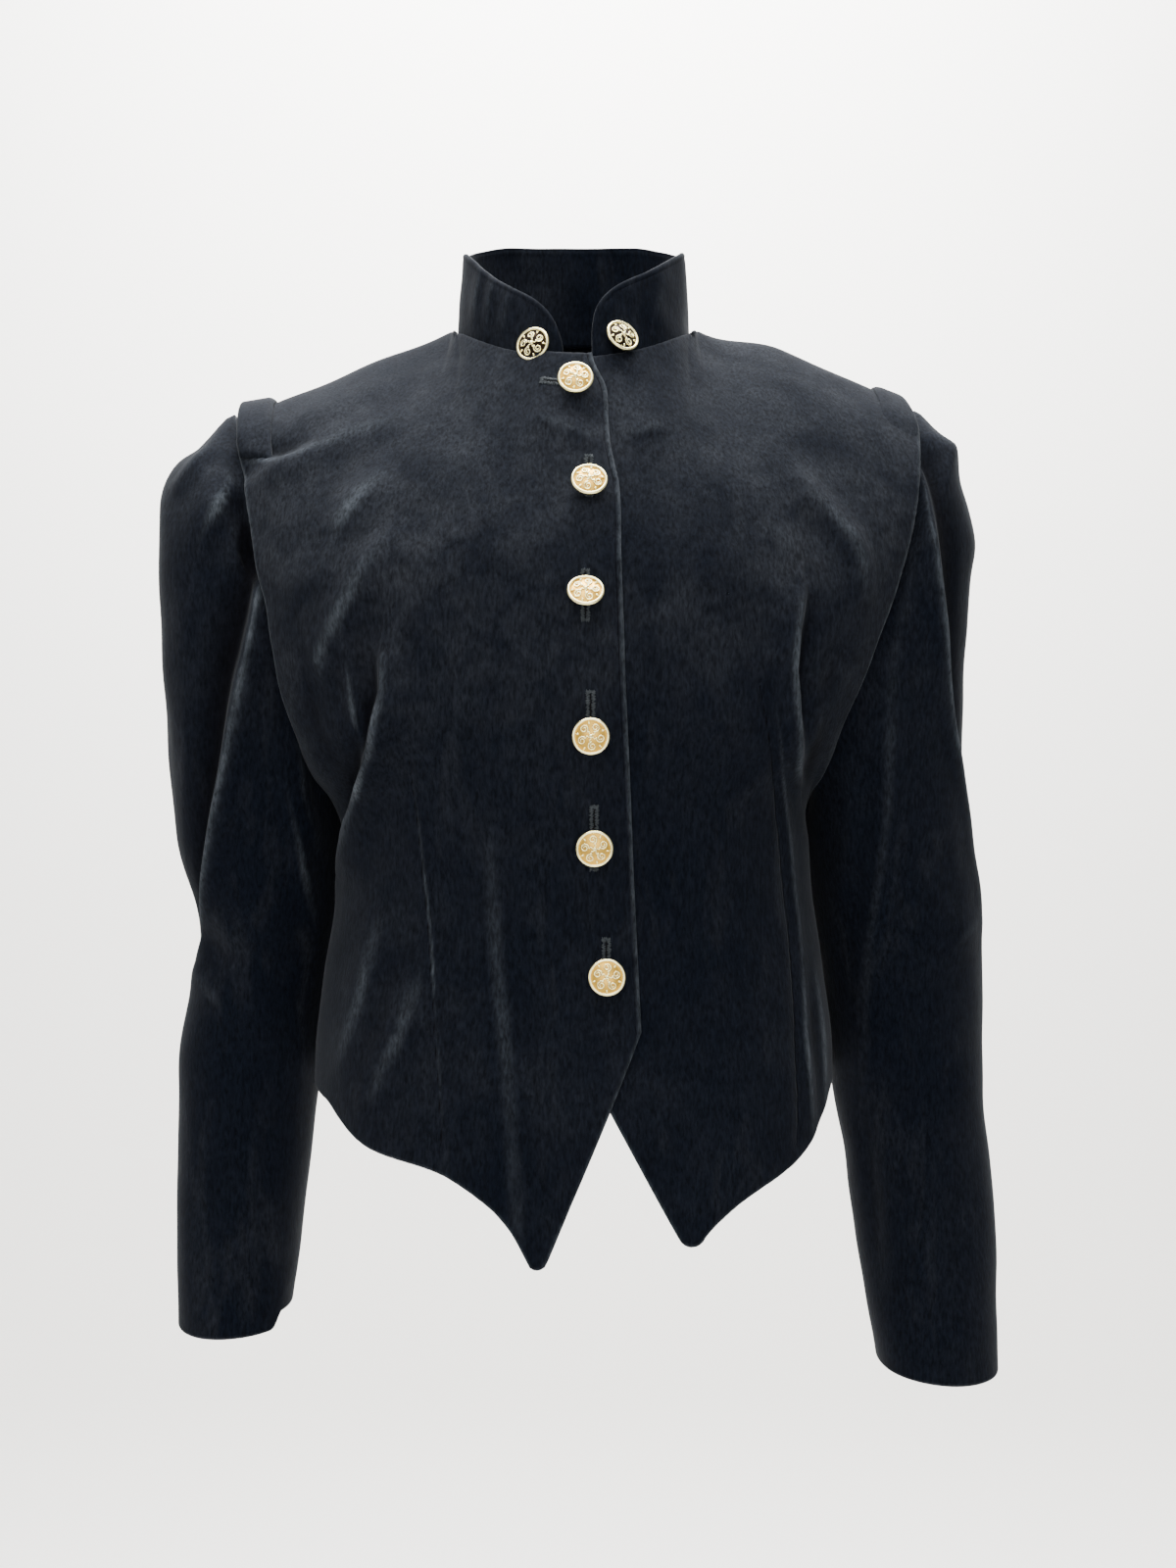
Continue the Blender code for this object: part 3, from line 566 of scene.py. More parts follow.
FRONT_YOKE = ((0.0, -0.014, -0.027), (-0.004, -0.040, -0.023))
BACK_YOKE = ((0.0, 0.020, -0.042), (-0.003, 0.042, -0.024))
NECK_FRONT = (-0.073, -0.036)
NECK_BACK = (0.062, 0.012)
FRONT_TORSO = Torso(
    sections=(
        Section(0, -580, -143, 170, -6, -580, 90, 0.66),
        Section(80, -500, -138, 167, -6, -500, 90, 0.66),
        Section(140, -440, -131, 163, -6, -440, 90, 0.66),
        Section(214, -366, -124, 153, -6, -366, 90, 0.64),
        Section(262, -318, -126, 150, -6, -318, 90, 0.64),
        Section(338, -242, -133, 165, -54, -274, 76, 0.62),
        Section(407, -173, -127, 185, -65, -214, 62, 0.62),
        Section(467, -115, -109, 200, -58, -156, 48, 0.6),
    ),
    neck_centre=NECK_FRONT,
    yoke_steps=FRONT_YOKE,
    beyond_tip=BACK_YOKE[1],
    facing=1.0,
)
BACK_TORSO = Torso(
    sections=(
        Section(0, -580, 116, 170, -6, -580, 90, 0.64),
        Section(80, -500, 110, 167, -6, -500, 90, 0.64),
        Section(140, -440, 100, 163, -6, -440, 90, 0.64),
        Section(214, -366, 88, 153, -6, -366, 90, 0.62),
        Section(262, -318, 92, 150, -6, -318, 90, 0.62),
        Section(338, -242, 101, 168, 50, -270, 76, 0.6),
        Section(407, -173, 107, 188, 68, -208, 60, 0.6),
        Section(467, -105, 103, 204, 64, -148, 45, 0.6),
    ),
    neck_centre=NECK_BACK,
    yoke_steps=BACK_YOKE,
    beyond_tip=FRONT_YOKE[1],
    facing=-1.0,
)


def srgb(code: str) -> tuple[float, float, float, float]:
    """Turns an sRGB hex colour to linear red, green, blue and alpha."""
    parts = [int(code[i : i + 2], 16) / 255.0 for i in (1, 3, 5)]
    return (*(p / 12.92 if p <= 0.04045 else ((p + 0.055) / 1.055) ** 2.4 for p in parts), 1.0)


def set_inputs(tree: Any, node: Any, inputs: dict[Any, Any]) -> None:
    """Links or sets a node's inputs.

    Args:
        tree: The node's tree.
        node: The node.
        inputs: Sockets by name or number, with a value or another node's output.
    """
    for socket, value in inputs.items():
        if isinstance(value, bpy.types.NodeSocket):
            tree.links.new(value, node.inputs[socket])
        else:
            node.inputs[socket].default_value = value


def add_node(tree: Any, kind: str, inputs: dict[Any, Any], take: int | str = 0, **settings: Any) -> Any:
    """Adds a node with its settings, and links or sets its inputs.

    Args:
        tree: Node tree to add to.
        kind: The node's type.
        inputs: Sockets by name or number, with a value or another node's output.
        take: Name or number of the output to hand back.
        settings: The node's own settings.

    Returns:
        The output, or None for a node that has none.
    """
    made = tree.nodes.new(kind)
    for name, value in settings.items():
        setattr(made, name, value)
    set_inputs(tree, made, inputs)
    return made.outputs[take] if made.outputs else None


def new_material(name: str) -> tuple[Material, Any, Any]:
    """A material with its node tree and Principled shader.

    Args:
        name: The material's name.

    Returns:
        The material, its tree and its shader node.
    """
    made = bpy.data.materials.new(name)
    made.use_nodes = True
    return made, made.node_tree, made.node_tree.nodes["Principled BSDF"]


@dataclass(frozen=True)
class Velvet:
    """Black cotton velvet: a short cut pile that swallows light face on and gleams softly at its edges.

    The pile lies unevenly where it was brushed and pressed, so the black is clouded with grey at random; the
    same grey is painted top light where the cloth is high and where it faces up. Fold crests carry a painted
    highlight and fold troughs painted shade. The pile parts along stitched lines and thins on turned edges.
    """

    # Black of the parted pile along stitched lines, and painted shade in the troughs of folds
    seam_and_trough_shade: str = "#030305"
    navy: str = "#060910"
    # Grey of the clouded nap, and painted top light
    nap_and_top_light_grey: str = "#1f2125"
    # Grey of worn edges, and painted highlight on the crests of folds
    wear_and_crest_highlight: str = "#484d52"
    gleam: str = "#a4a8ad"
    gleam_weight: float = 0.080
    gleam_roughness: float = 0.45
    specular: float = 0.02
    # Size and detail of the brushed clouds and streaks and of the pressed mottles. The real pile stands about
    # 0.2 mm apart, too fine to show, so its grain is drawn coarser.
    clouds: Pair = (0.070, 4.0)
    streaks: Pair = (0.026, 5.0)
    mottles: Pair = (0.016, 3.0)
    pile: Pair = (0.0016, 2.0)
    streak_stretch: Triple = (1.0, 1.0, 0.3)
    noise_roughness: float = 0.62
    noise_distortion: float = 0.4
    # Where each pattern or mark starts and is full, and how strong it is then
    cloudy: Triple = (0.15, 0.75, 1.0)
    streaked: Triple = (0.44, 0.76, 0.42)
    speckled: Triple = (0.00, 0.75, 1.0)
    # Painted highlight on fold crests, and painted shade in fold troughs
    ridge: Triple = (0.05, 1.0, 0.8)
    trough: Triple = (-0.05, -0.9, 0.9)
    worn: Triple = (3.6, 0.2, 0.36)
    parted: Triple = (0.9, 0.1, 1.0)
    # Range of the pile's noise, and the brightness that it gives
    grain: tuple[Pair, Pair] = ((0.30, 0.70), (0.50, 1.50))
    # Roughness that the mottles add, and the least
    roughness: Pair = (0.2, 0.75)
    mottle_height: float = 1.6
    parting_height: float = -3.0
    bump_strength: float = 0.35
    bump_depth: float = 0.0006

    def make(self) -> Material:
        """Makes the velvet, with clouds, mottles and pile on Object coordinates.

        Returns:
            The material.
        """
        made, tree, shader = new_material("black_cotton_velvet")
        where = add_node(tree, "ShaderNodeTexCoord", {}, "Object")
        edge, groove, fold_light_and_shade, nap_and_top_light = (
            add_node(tree, "ShaderNodeAttribute", {}, "Fac", attribute_name=name)
            for name in ("edge", "groove", "fold_light_and_shade", "nap_and_top_light")
        )
        lie = add_node(tree, "ShaderNodeMapping", {"Vector": where, "Scale": self.streak_stretch})
        same = {"Roughness": self.noise_roughness, "Distortion": self.noise_distortion}
        clouds, streaks, mottles, pile = (
            add_node(tree, "ShaderNodeTexNoise", {"Vector": at, "Scale": 1.0 / size, "Detail": fine, **same})
            for at, (size, fine) in (
                (where, self.clouds),
                (lie, self.streaks),
                (where, self.mottles),
                (lie, self.pile),
            )
        )
        rise = {"interpolation_type": "SMOOTHSTEP"}
        cloudy, streaked, speckled, ridge, trough, worn, parted = (
            add_node(tree, "ShaderNodeMapRange", {0: mark, 1: start, 2: end, 4: most}, **rise)
            for mark, (start, end, most) in (
                (clouds, self.cloudy),
                (streaks, self.streaked),
                (mottles, self.speckled),
                (fold_light_and_shade, self.ridge),
                (fold_light_and_shade, self.trough),
                (edge, self.worn),
                (groove, self.parted),
            )
        )
        # Grey of the nap: its clouds and streaks, and painted top light where the cloth is high and where it
        # faces up
        nap_and_light_share = nap_and_top_light
        for share in (cloudy, speckled):
            nap_and_light_share = add_node(tree, "ShaderNodeMath", {0: nap_and_light_share, 1: share}, operation="MULTIPLY")
        nap_and_light_share = add_node(tree, "ShaderNodeMath", {0: nap_and_light_share, 1: streaked}, operation="MAXIMUM")
        # Painted highlight on fold crests, and worn edges
        light = add_node(tree, "ShaderNodeMath", {0: ridge, 1: worn}, operation="MAXIMUM")
        light = add_node(tree, "ShaderNodeMath", {0: light, 1: speckled}, operation="MULTIPLY")
        # Painted shade in fold troughs, and the parted pile of stitched lines
        seams_and_shade = add_node(tree, "ShaderNodeMath", {0: trough, 1: parted}, operation="MAXIMUM")
        colour = srgb(self.navy)
        for share, tone in ((nap_and_light_share, self.nap_and_top_light_grey), (light, self.wear_and_crest_highlight), (seams_and_shade, self.seam_and_trough_shade)):
            mix = {0: share, 6: colour, 7: srgb(tone)}
            colour = add_node(tree, "ShaderNodeMix", mix, 2, data_type="RGBA")
        (start, end), (least, most) = self.grain
        grain = add_node(tree, "ShaderNodeMapRange", {0: pile, 1: start, 2: end, 3: least, 4: most})
        mix = {0: 1.0, 6: colour, 7: grain}
        colour = add_node(tree, "ShaderNodeMix", mix, 2, data_type="RGBA", blend_type="MULTIPLY")
        more, least = self.roughness
        rough, height = (
            add_node(tree, "ShaderNodeMath", {0: mottles, 1: factor, 2: added}, operation="MULTIPLY_ADD")
            for factor, added in ((more, least), (self.mottle_height, pile))
        )
        sunk = {0: parted, 1: self.parting_height, 2: height}
        height = add_node(tree, "ShaderNodeMath", sunk, operation="MULTIPLY_ADD")
        bump = {"Height": height, "Strength": self.bump_strength, "Distance": self.bump_depth}
        inputs = {
            "Base Color": colour,
            "Roughness": rough,
            "Normal": add_node(tree, "ShaderNodeBump", bump),
            "Specular IOR Level": self.specular,
            "Sheen Weight": self.gleam_weight,
            "Sheen Roughness": self.gleam_roughness,
            "Sheen Tint": srgb(self.gleam),
        }
        set_inputs(tree, shader, inputs)
        return made


@dataclass(frozen=True)
class Metal:
    """Cast brass: bright where it is gilt and polished, brown and duller in the sunk ground."""

    name: str
    colour: str
    roughness: float
    grain: float = 0.0009
    grain_detail: float = 2.0
    grain_strength: float = 0.5
    grain_depth: float = 0.00004

    def make(self) -> Material:
        """Makes the metal, with the slight waviness of a small casting.

        Returns:
            The material.
        """
        made, tree, shader = new_material(self.name)
        where = add_node(tree, "ShaderNodeTexCoord", {}, "Object")
        noise = {"Vector": where, "Scale": 1.0 / self.grain, "Detail": self.grain_detail}
        waves = add_node(tree, "ShaderNodeTexNoise", noise)
        bump = {"Height": waves, "Strength": self.grain_strength, "Distance": self.grain_depth}
        inputs = {
            "Base Color": srgb(self.colour),
            "Metallic": 1.0,
            "Roughness": self.roughness,
            "Normal": add_node(tree, "ShaderNodeBump", bump),
        }
        set_inputs(tree, shader, inputs)
        return made


@dataclass(frozen=True)
class Matt:
    """A dull even finish: twisted cotton thread, or the painted floor and wall of the studio."""

    name: str
    colour: str
    roughness: float = 0.9
    specular: float = 0.2

    def make(self) -> Material:
        """Makes the finish.

        Returns:
            The material.
        """
        made, tree, shader = new_material(self.name)
        inputs = {
            "Base Color": srgb(self.colour),
            "Roughness": self.roughness,
            "Specular IOR Level": self.specular,
        }
        set_inputs(tree, shader, inputs)
        return made


@dataclass
class ClothGrid:
    """Rows of points of a piece's outer face, with what its finish reads at each of them.

    Base is the face before its edges turn in, with its outward directions, and the inner face lies one wall
    below it. Groove and edge are the millimetres to its stitched lines and turned edges; the fold marks are
    1 for a painted highlight on the crest of a fold and -1 for painted shade in its trough. Painted top light
    says how much grey is painted where the cloth is high and where it faces up, and least how grey the nap
    and the piece's painted light are everywhere.
    """

    points: Array
    base: Array | None = None
    outward: Array | None = None
    groove: Array | float = FAR
    edge: Array | float = FAR
    fold_light_and_shade: Array | float = 0.0
    closed: bool = False
    flip: bool = False
    painted_top_light: Array | float = 1.0
    least: float = 0.12

    # Levels and upward facing over which the painted top light rises
    TOP_LIGHT_LEVELS: ClassVar[Pair] = (-0.36, -0.06)
    TOP_LIGHT_FACING: ClassVar[Pair] = (-0.05, 0.80)

    def faces(self) -> list[list[int]]:
        """Joins the points to four-sided faces, turned outwards.

        Returns:
            Corners of each face.
        """
        rows, columns = self.points.shape[:2]
        index = np.arange(rows * columns).reshape(rows, columns)
        beside = np.roll(index, -1, axis=1)
        count = columns if self.closed else columns - 1
        corners = (index[:-1], beside[:-1], beside[1:], index[1:])
        quads = np.stack([corner[:, :count].reshape(-1) for corner in corners], axis=1)
        return (quads[:, ::-1] if self.flip else quads).tolist()

    def shell(self, wall: float) -> tuple[Array, list[list[int]]]:
        """The closed shell of the cloth: its outer face, its inner face and the rim between them.

        Args:
            wall: Thickness of the cloth.

        Returns:
            Points of the outer and then the inner face, and the corners of all faces.
        """
        rows, columns = self.points.shape[:2]
        count = rows * columns
        index = np.arange(count).reshape(rows, columns)
        loops = [index[0], index[-1, ::-1]]
        if not self.closed:
            loops = [np.concatenate([index[0], index[1:, -1], index[-1, -2::-1], index[-2:0:-1, 0]])]
        outer = np.array(self.faces())
        made = [outer, outer[:, ::-1] + count]
        for loop in loops:
            after = np.roll(loop, -1)
            rim = np.stack([after, loop, loop + count, after + count], axis=1)
            made.append(rim[:, ::-1] if self.flip else rim)
        inner = self.base - wall * self.outward
        points = np.concatenate([self.points.reshape(-1, 3), inner.reshape(-1, 3)])
        return points, np.concatenate(made).tolist()

    def nap_and_top_light(self) -> Array:
        """How grey the velvet is painted: the nap everywhere, and painted top light where it is high and
        where it faces up.

        Returns:
            A number from 0 to 1 for each point.
        """
        around = np.gradient(self.points, axis=1)
        if self.closed:
            around = np.roll(self.points, -1, axis=1) - np.roll(self.points, 1, axis=1)
        normals = unit(np.cross(around, np.gradient(self.points, axis=0)))
        up = normals[..., 2] * (-1.0 if self.flip else 1.0)
        high = smooth(self.points[..., 2], *self.TOP_LIGHT_LEVELS)
        return np.clip(self.least + self.painted_top_light * (high + smooth(up, *self.TOP_LIGHT_FACING)), 0.0, 1.0)

    def flat_size(self) -> tuple[Pair, float]:
        """Measures the cut when laid flat.

        Returns:
            Its width and length, and its area.
        """
        points = np.concatenate([self.points, self.points[:, :1]], axis=1) if self.closed else self.points
        across = np.linalg.norm(np.diff(points, axis=1), axis=2).sum(axis=1).max()
        up = np.linalg.norm(np.diff(points, axis=0), axis=2).sum(axis=0).max()
        one = np.cross(points[:-1, 1:] - points[:-1, :-1], points[1:, :-1] - points[:-1, :-1])
        other = np.cross(points[1:, :-1] - points[1:, 1:], points[:-1, 1:] - points[1:, 1:])
        area = 0.5 * (np.linalg.norm(one, axis=2).sum() + np.linalg.norm(other, axis=2).sum())
        return (float(across), float(up)), float(area)


def add_mesh(name: str, points: Any, faces: Any, finishes: Sequence[Material]) -> Piece:
    """A mesh object at the origin, shaded smooth.

    Args:
        name: The object's name.
        points: Vertices.
        faces: Corners of each face.
        finishes: Materials by slot.

    Returns:
        The object.
    """
    mesh = bpy.data.meshes.new(name)
    mesh.from_pydata(np.asarray(points).tolist(), [], faces)
    for finish in finishes:
        mesh.materials.append(finish)
    mesh.shade_smooth()
    made = bpy.data.objects.new(name, mesh)
    bpy.context.collection.objects.link(made)
    return made


def place_piece(piece: Piece, node: str | None = None) -> None:
    """Fastens a finished piece to the jacket, and hides the solid that it stands for.

    Args:
        piece: The finished object.
        node: The solid that it replaces, if there is one.
    """
    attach(piece, "root")
    if node is not None:
        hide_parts(node)
    LOG.info("%s: %d faces", piece.name, len(piece.data.polygons))


def worn_face(plain: Array, outward: Array, lift: Array, side: float = 1.0) -> Array:
    """A face lifted off its plain form, set on its side of the body and as worn."""
    return SHOULDERS.worn((plain + outward * lift[..., None]) * (side, 1.0, 1.0))


class Held(Enum):
    """How a sheet of cloth is held in its form."""

    DRAPED = "draped"
    HUNG = "hung"
    FOLDED = "folded"


class CutPiece:
    """A cut piece of cloth: the solid that it stands for, its thickness and how it is held."""

    name: str
    wall: float
    held: Held

    def grid(self) -> ClothGrid:
        """The outer face, which every kind of piece draws for itself."""
        raise NotImplementedError

    def build(self, finish: Material) -> None:
        """Makes the piece as a shell of even thickness inwards, and dresses it.

        Args:
            finish: The cloth's material.
        """
        cloth = self.grid()
        points, faces = cloth.shell(self.wall)
        piece = add_mesh(f"{self.name}_cloth", points, faces, [finish])
        # What the velvet reads: stitched lines, worn edges, painted light and shade of folds, and the grey of
        # the nap with painted top light
        marks = {"groove": cloth.groove, "edge": cloth.edge, "fold_light_and_shade": cloth.fold_light_and_shade, "nap_and_top_light": cloth.nap_and_top_light()}
        for name, values in marks.items():
            outer = np.broadcast_to(values, cloth.points.shape[:2]).reshape(-1)
            attribute = piece.data.attributes.new(name, "FLOAT", "POINT")
            attribute.data.foreach_set("value", np.tile(outer, 2).astype(np.float32))
        place_piece(piece, self.name)
        flat, area = cloth.flat_size()


@dataclass(frozen=True)
class Edge:
    """A turned or seamed edge: it rolls in over a radius by a depth."""

    radius: float
    depth: float

    def lift(self, distance: Array) -> Array:
        """How far the edge moves the cloth, negative inwards."""
        inside = np.clip(1.0 - distance / self.radius, 0.0, 1.0)
        return -self.depth * (1.0 - np.sqrt(1.0 - inside**2))


CLOTH_WALL = 0.0019
TURNED = Edge(radius=0.0026, depth=0.0016)
SEAMED = Edge(radius=0.0024, depth=0.0012)
# The stitched line along a closing edge: its distance from the edge, depth and width
BEAD_GROOVE = 0.0035
BEAD_DEPTH = 0.0005
BEAD_WIDTH = 0.0011
DART_DEPTH = 0.0009
DART_WIDTH = 0.0026
# How much farther than they are a stitched line and a hem are marked, so that they show fainter
BEAD_FAINT = 0.00035
HEM_FAINT = 0.0009


@dataclass(frozen=True)
class Front(CutPiece):
    """One front of the jacket, with across measured from the body's middle towards its own side."""

    name: str
    side: float
    edge_top: float
    edge_bottom: float
    tip: Pair
    hem_rise: Line
    over: bool
    lap_fade: Pair
    folds: tuple[Fold, ...]
    dart: Line
    ripple: Ripple
    wall: float = CLOTH_WALL
    held: Held = Held.DRAPED
    torso: Torso = FRONT_TORSO
    edge_bow: Line = ((-0.600, 0.0), (0.0, 0.0))
    corner_level: float = -0.440
    edge_top_level: float = -0.060
    neck_corner: Pair = (0.009, 0.030)
    tip_round: float = 0.0062
    tip_up: float = 0.030
    lap_depth: float = 0.0028
    lap_levels: Pair = (-0.120, -0.060)
    flange_proud: float = 0.006
    flange_width: float = 0.075
    flange_full: float = 0.25
    flange_top: float = -0.109
    flange_top_rise: float = 0.008
    flange_underarm: Pair = (-0.010, 0.060)
    side_fade: Pair = (0.001, 0.016)
    columns: int = 136
    low_rows: int = 92
    high_rows: int = 150
    width: float = 0.25
    # Least grey of the nap everywhere on a front, partly painted light: the right front is painted greyer
    least_nap_and_light: float = 0.12

    def closing_edge(self, level: Array) -> Array:
        """Where the closing edge runs.

        Args:
            level: Levels down the edge.

        Returns:
            Its position across at each level.
        """
        down = np.clip((self.edge_top_level - level) / (self.edge_top_level - self.corner_level), 0.0, 1.0)
        depth, reach = self.neck_corner
        round_off = depth * smooth(level, NECK_FRONT[1] - reach, NECK_FRONT[1])
        bow = read_table(self.edge_bow, level)
        return self.edge_top + (self.edge_bottom - self.edge_top) * down + round_off - bow

    def hem(self, share: Array, across: Array) -> Array:
        """How far up the hem lies: straight from the corner to the round point, then in a curve to the side.

        Args:
            share: Shares across the panel.
            across: Positions across, in the same shape.

        Returns:
            Heights on the panel.
        """
        tip_across, tip_level = self.tip
        fall = (tip_level - self.corner_level) / (tip_across - self.edge_bottom)
        slant = self.corner_level + fall * (across - self.edge_bottom)
        past = share / self.torso.across_share(np.array(self.tip_up)) - tip_across
        swept = tip_level + read_table(self.hem_rise, past)
        rise = self.hem_rise[1][1] / self.hem_rise[1][0]
        fall_length, rise_length = math.hypot(1.0, fall), math.hypot(1.0, rise)
        middle = self.tip_round * (rise_length - fall_length) / (fall - rise)
        level = tip_level + fall * middle + self.tip_round * fall_length
        reach = np.clip(past - middle, -self.tip_round, self.tip_round)
        arc = level - np.sqrt(self.tip_round**2 - reach**2)
        ends = (middle + self.tip_round * fall / fall_length, middle + self.tip_round * rise / rise_length)
        hem = np.where(past < ends[0], slant, np.where(past > ends[1], swept, arc))
        return hem - self.torso.lowest

    def places(self) -> tuple[Array, Array]:
        """Lays out the grid, hem to shoulder and closing edge to side.

        Returns:
            Share and height of every point.
        """
        torso = self.torso
        columns = spread(self.columns, self.width, True, True)
        low, high = torso.row_places(self.low_rows, self.high_rows)
        corner_up = self.corner_level - torso.lowest
        low_ups = corner_up + (torso.underarm_up - corner_up) * low
        high_ups = torso.underarm_up + (torso.top_up - SEAM_GAP - torso.underarm_up) * high
        centre_ups = np.concatenate([low_ups, high_ups])
        levels = torso.points(np.zeros(len(centre_ups)), centre_ups)[:, 2]
        per_metre = torso.across_share(centre_ups)
        edge = (self.closing_edge(levels) * per_metre)[:, None]
        share = edge + (1.0 - SEAM_GAP / PANEL_WIDTH - edge) * columns
        width = 1.0 / torso.across_share(np.array(self.tip_up))
        across = np.where(share < 0.0, share / per_metre[:, None], share * width)
        up = np.repeat(centre_ups[:, None], len(columns), axis=1)
        hem = self.hem(share[: len(low)], across[: len(low)])
        up[: len(low)] = hem + (torso.underarm_up - hem) * low[:, None]
        above = torso.top(share[len(low) :]) - torso.underarm_up
        up[len(low) :] = torso.underarm_up + above * high[:, None]
        return share, up

    def lift(self, points: Array, up: Array) -> Array:
        """How far folds, swell, lap and flange move the plain surface out.

        The right front laps over the left one, and both stand proud of the sleeves along the armholes.

        Args:
            points: Points of the plain surface.
            up: Their heights on the panel.

        Returns:
            Distances, negative inwards.
        """
        side = self.torso.points(np.ones(up.shape), up)
        to_side = np.linalg.norm(points - side, axis=-1)
        swell = fold_lifts(self.folds, points) * smooth(to_side, *self.side_fade) + self.ripple.lift(points)
        at_neck = smooth(points[..., 2], *self.lap_levels)
        covered = 1.0 - smooth(points[..., 0], *self.lap_fade)
        lap = self.lap_depth * covered * (at_neck if self.over else at_neck - 1.0)
        below_band = smooth(self.flange_top - side[..., 2], -self.flange_top_rise, self.flange_top_rise)
        above_underarm = smooth(up - self.torso.underarm_up, *self.flange_underarm)
        near = 1.0 - smooth(to_side, self.flange_full * self.flange_width, self.flange_width)
        return swell + lap + self.flange_proud * near * below_band * above_underarm

    def grid(self) -> ClothGrid:
        """Draws the front.

        Returns:
            Its outer face.
        """
        share, up = self.places()
        plain = self.torso.points(share, up)
        normals = self.torso.normals(share, up)
        under = int(np.argmin(np.abs(up[:, -1] - self.torso.underarm_up)))
        closing = edge_distance(plain, [plain[:, 0]])
        hem = edge_distance(plain, [plain[0]])
        armhole = edge_distance(plain, [plain[under:, -1]])
        seams = edge_distance(plain, [plain[-1], plain[: under + 1, -1]])
        bead = np.abs(closing - BEAD_GROOVE)
        stitched, _ = line_distance(plain.reshape(-1, 3)[:, FLAT_AXES], self.dart)
        dart = np.abs(stitched).reshape(share.shape)
        sewn = BEAD_DEPTH * bell(bead, BEAD_WIDTH) + DART_DEPTH * bell(dart, DART_WIDTH)
        lift = self.lift(plain, up) - sewn
        turned = np.minimum(closing, armhole)
        turn = np.minimum(TURNED.lift(np.minimum(turned, hem)), SEAMED.lift(seams))
        return ClothGrid(
            points=worn_face(plain, normals, lift + turn, self.side),
            base=worn_face(plain, normals, lift, self.side),
            outward=normals * (self.side, 1.0, 1.0),
            groove=np.minimum(dart, bead + BEAD_FAINT) * MM,
            edge=np.minimum(turned, hem + HEM_FAINT) * MM,
            fold_light_and_shade=painted_fold_marks(self.folds, plain),
            flip=self.side < 0.0,
            least=self.least_nap_and_light,
        )

    def seat(self, across: float, level: float) -> tuple[Array, Array]:
        """Finds a place on the outer face.

        Args:
            across: Position across (+X).
            level: Its level.

        Returns:
            The place and the normal there.
        """
        ups = np.linspace(self.tip_up, self.torso.top_up - SEAM_GAP, SEARCH_STEPS)
        levels = self.torso.points(np.zeros(len(ups)), ups)[:, 2]
        up = np.array((np.interp(level, levels, ups),))
        share = self.side * across * self.torso.across_share(up)
        point = self.torso.points(share, up)
        normal = self.torso.normals(share, up)
        mirror = (self.side, 1.0, 1.0)
        place = point + normal * self.lift(point, up)[:, None]
        return place[0] * mirror, normal[0] * mirror


RIGHT_FRONT = Front(
    name="front_right",
    side=-1.0,
    least_nap_and_light=0.30,
    edge_top=-0.0220,
    edge_bottom=-0.0390,
    edge_bow=(
        (-0.45, 0.0008), (-0.24, 0.0008), (-0.2, 0.0014), (-0.165, 0.0017), (-0.13, 0.003),
        (-0.117, 0.0028), (-0.105, 0.0008), (-0.094, -0.001), (-0.08, -0.0014), (-0.04, -0.0014),
    ),
    tip=(0.0190, -0.5779),
    hem_rise=(
        (0.0, 0.0), (0.017, 0.0304), (0.032, 0.0444), (0.062, 0.0604), (0.106, 0.0689), (0.137, 0.0819),
        (0.158, 0.0904), (0.217, 0.0949),
    ),
    over=True,
    lap_fade=(0.016, 0.030),
    folds=(
        Fold(
            ((245, -91.5), (206, -93), (193, -95), (181, -96), (172, -93.5), (158, -87)),
            3.6, 12, 0.6, FoldKind.STEP,
        ),
        Fold(((170, -94), (140, -81), (104, -70)), 2.2, 12, 0.35),
        Fold(((108, -106), (127, -126), (141, -147), (157, -180)), 4.4, 13, 0.5),
        Fold(((106, -146), (122, -169), (133, -192), (142, -208), (156, -234)), 4.4, 12, 0.5),
        Fold(((140, -140), (158, -172)), -2, 9, 0.3),
        Fold(((162, -213), (153, -261), (129, -314)), -3, 8, 0.4),
        Fold(((133, -206), (129, -250), (125.6, -273), (123.6, -302)), 2.5, 4.2, 0.6),
        Fold(
            ((148, -353), (131, -314), (117, -274), (109, -243), (110, -218)),
            8.5, 14, 0.75, FoldKind.STEP,
        ),
        Fold(((48, -300), (47, -345), (43, -400), (36.5, -465), (31, -545), (26, -600)), 2, 12, 0.32),
        Fold(((112, -368), (126, -425), (142, -472)), 2.8, 11, 0.42),
        Fold(((85, -400), (102, -445), (121, -486)), 2.8, 11, 0.42),
        Fold(((94.5, -285), (87, -340), (82.5, -386), (78, -440), (72.8, -504)), 0.8, 2.6, 0.5),
        Fold(((24, -78), (4, -85), (-19, -94.5)), 1.6, 6, 0.35),
    ),
    dart=((0.0955, -0.282), (0.0885, -0.335), (0.0840, -0.386), (0.0795, -0.440), (0.0740, -0.506)),
    ripple=Ripple(0.0008, 0.110, 0.035, seed=11),
)
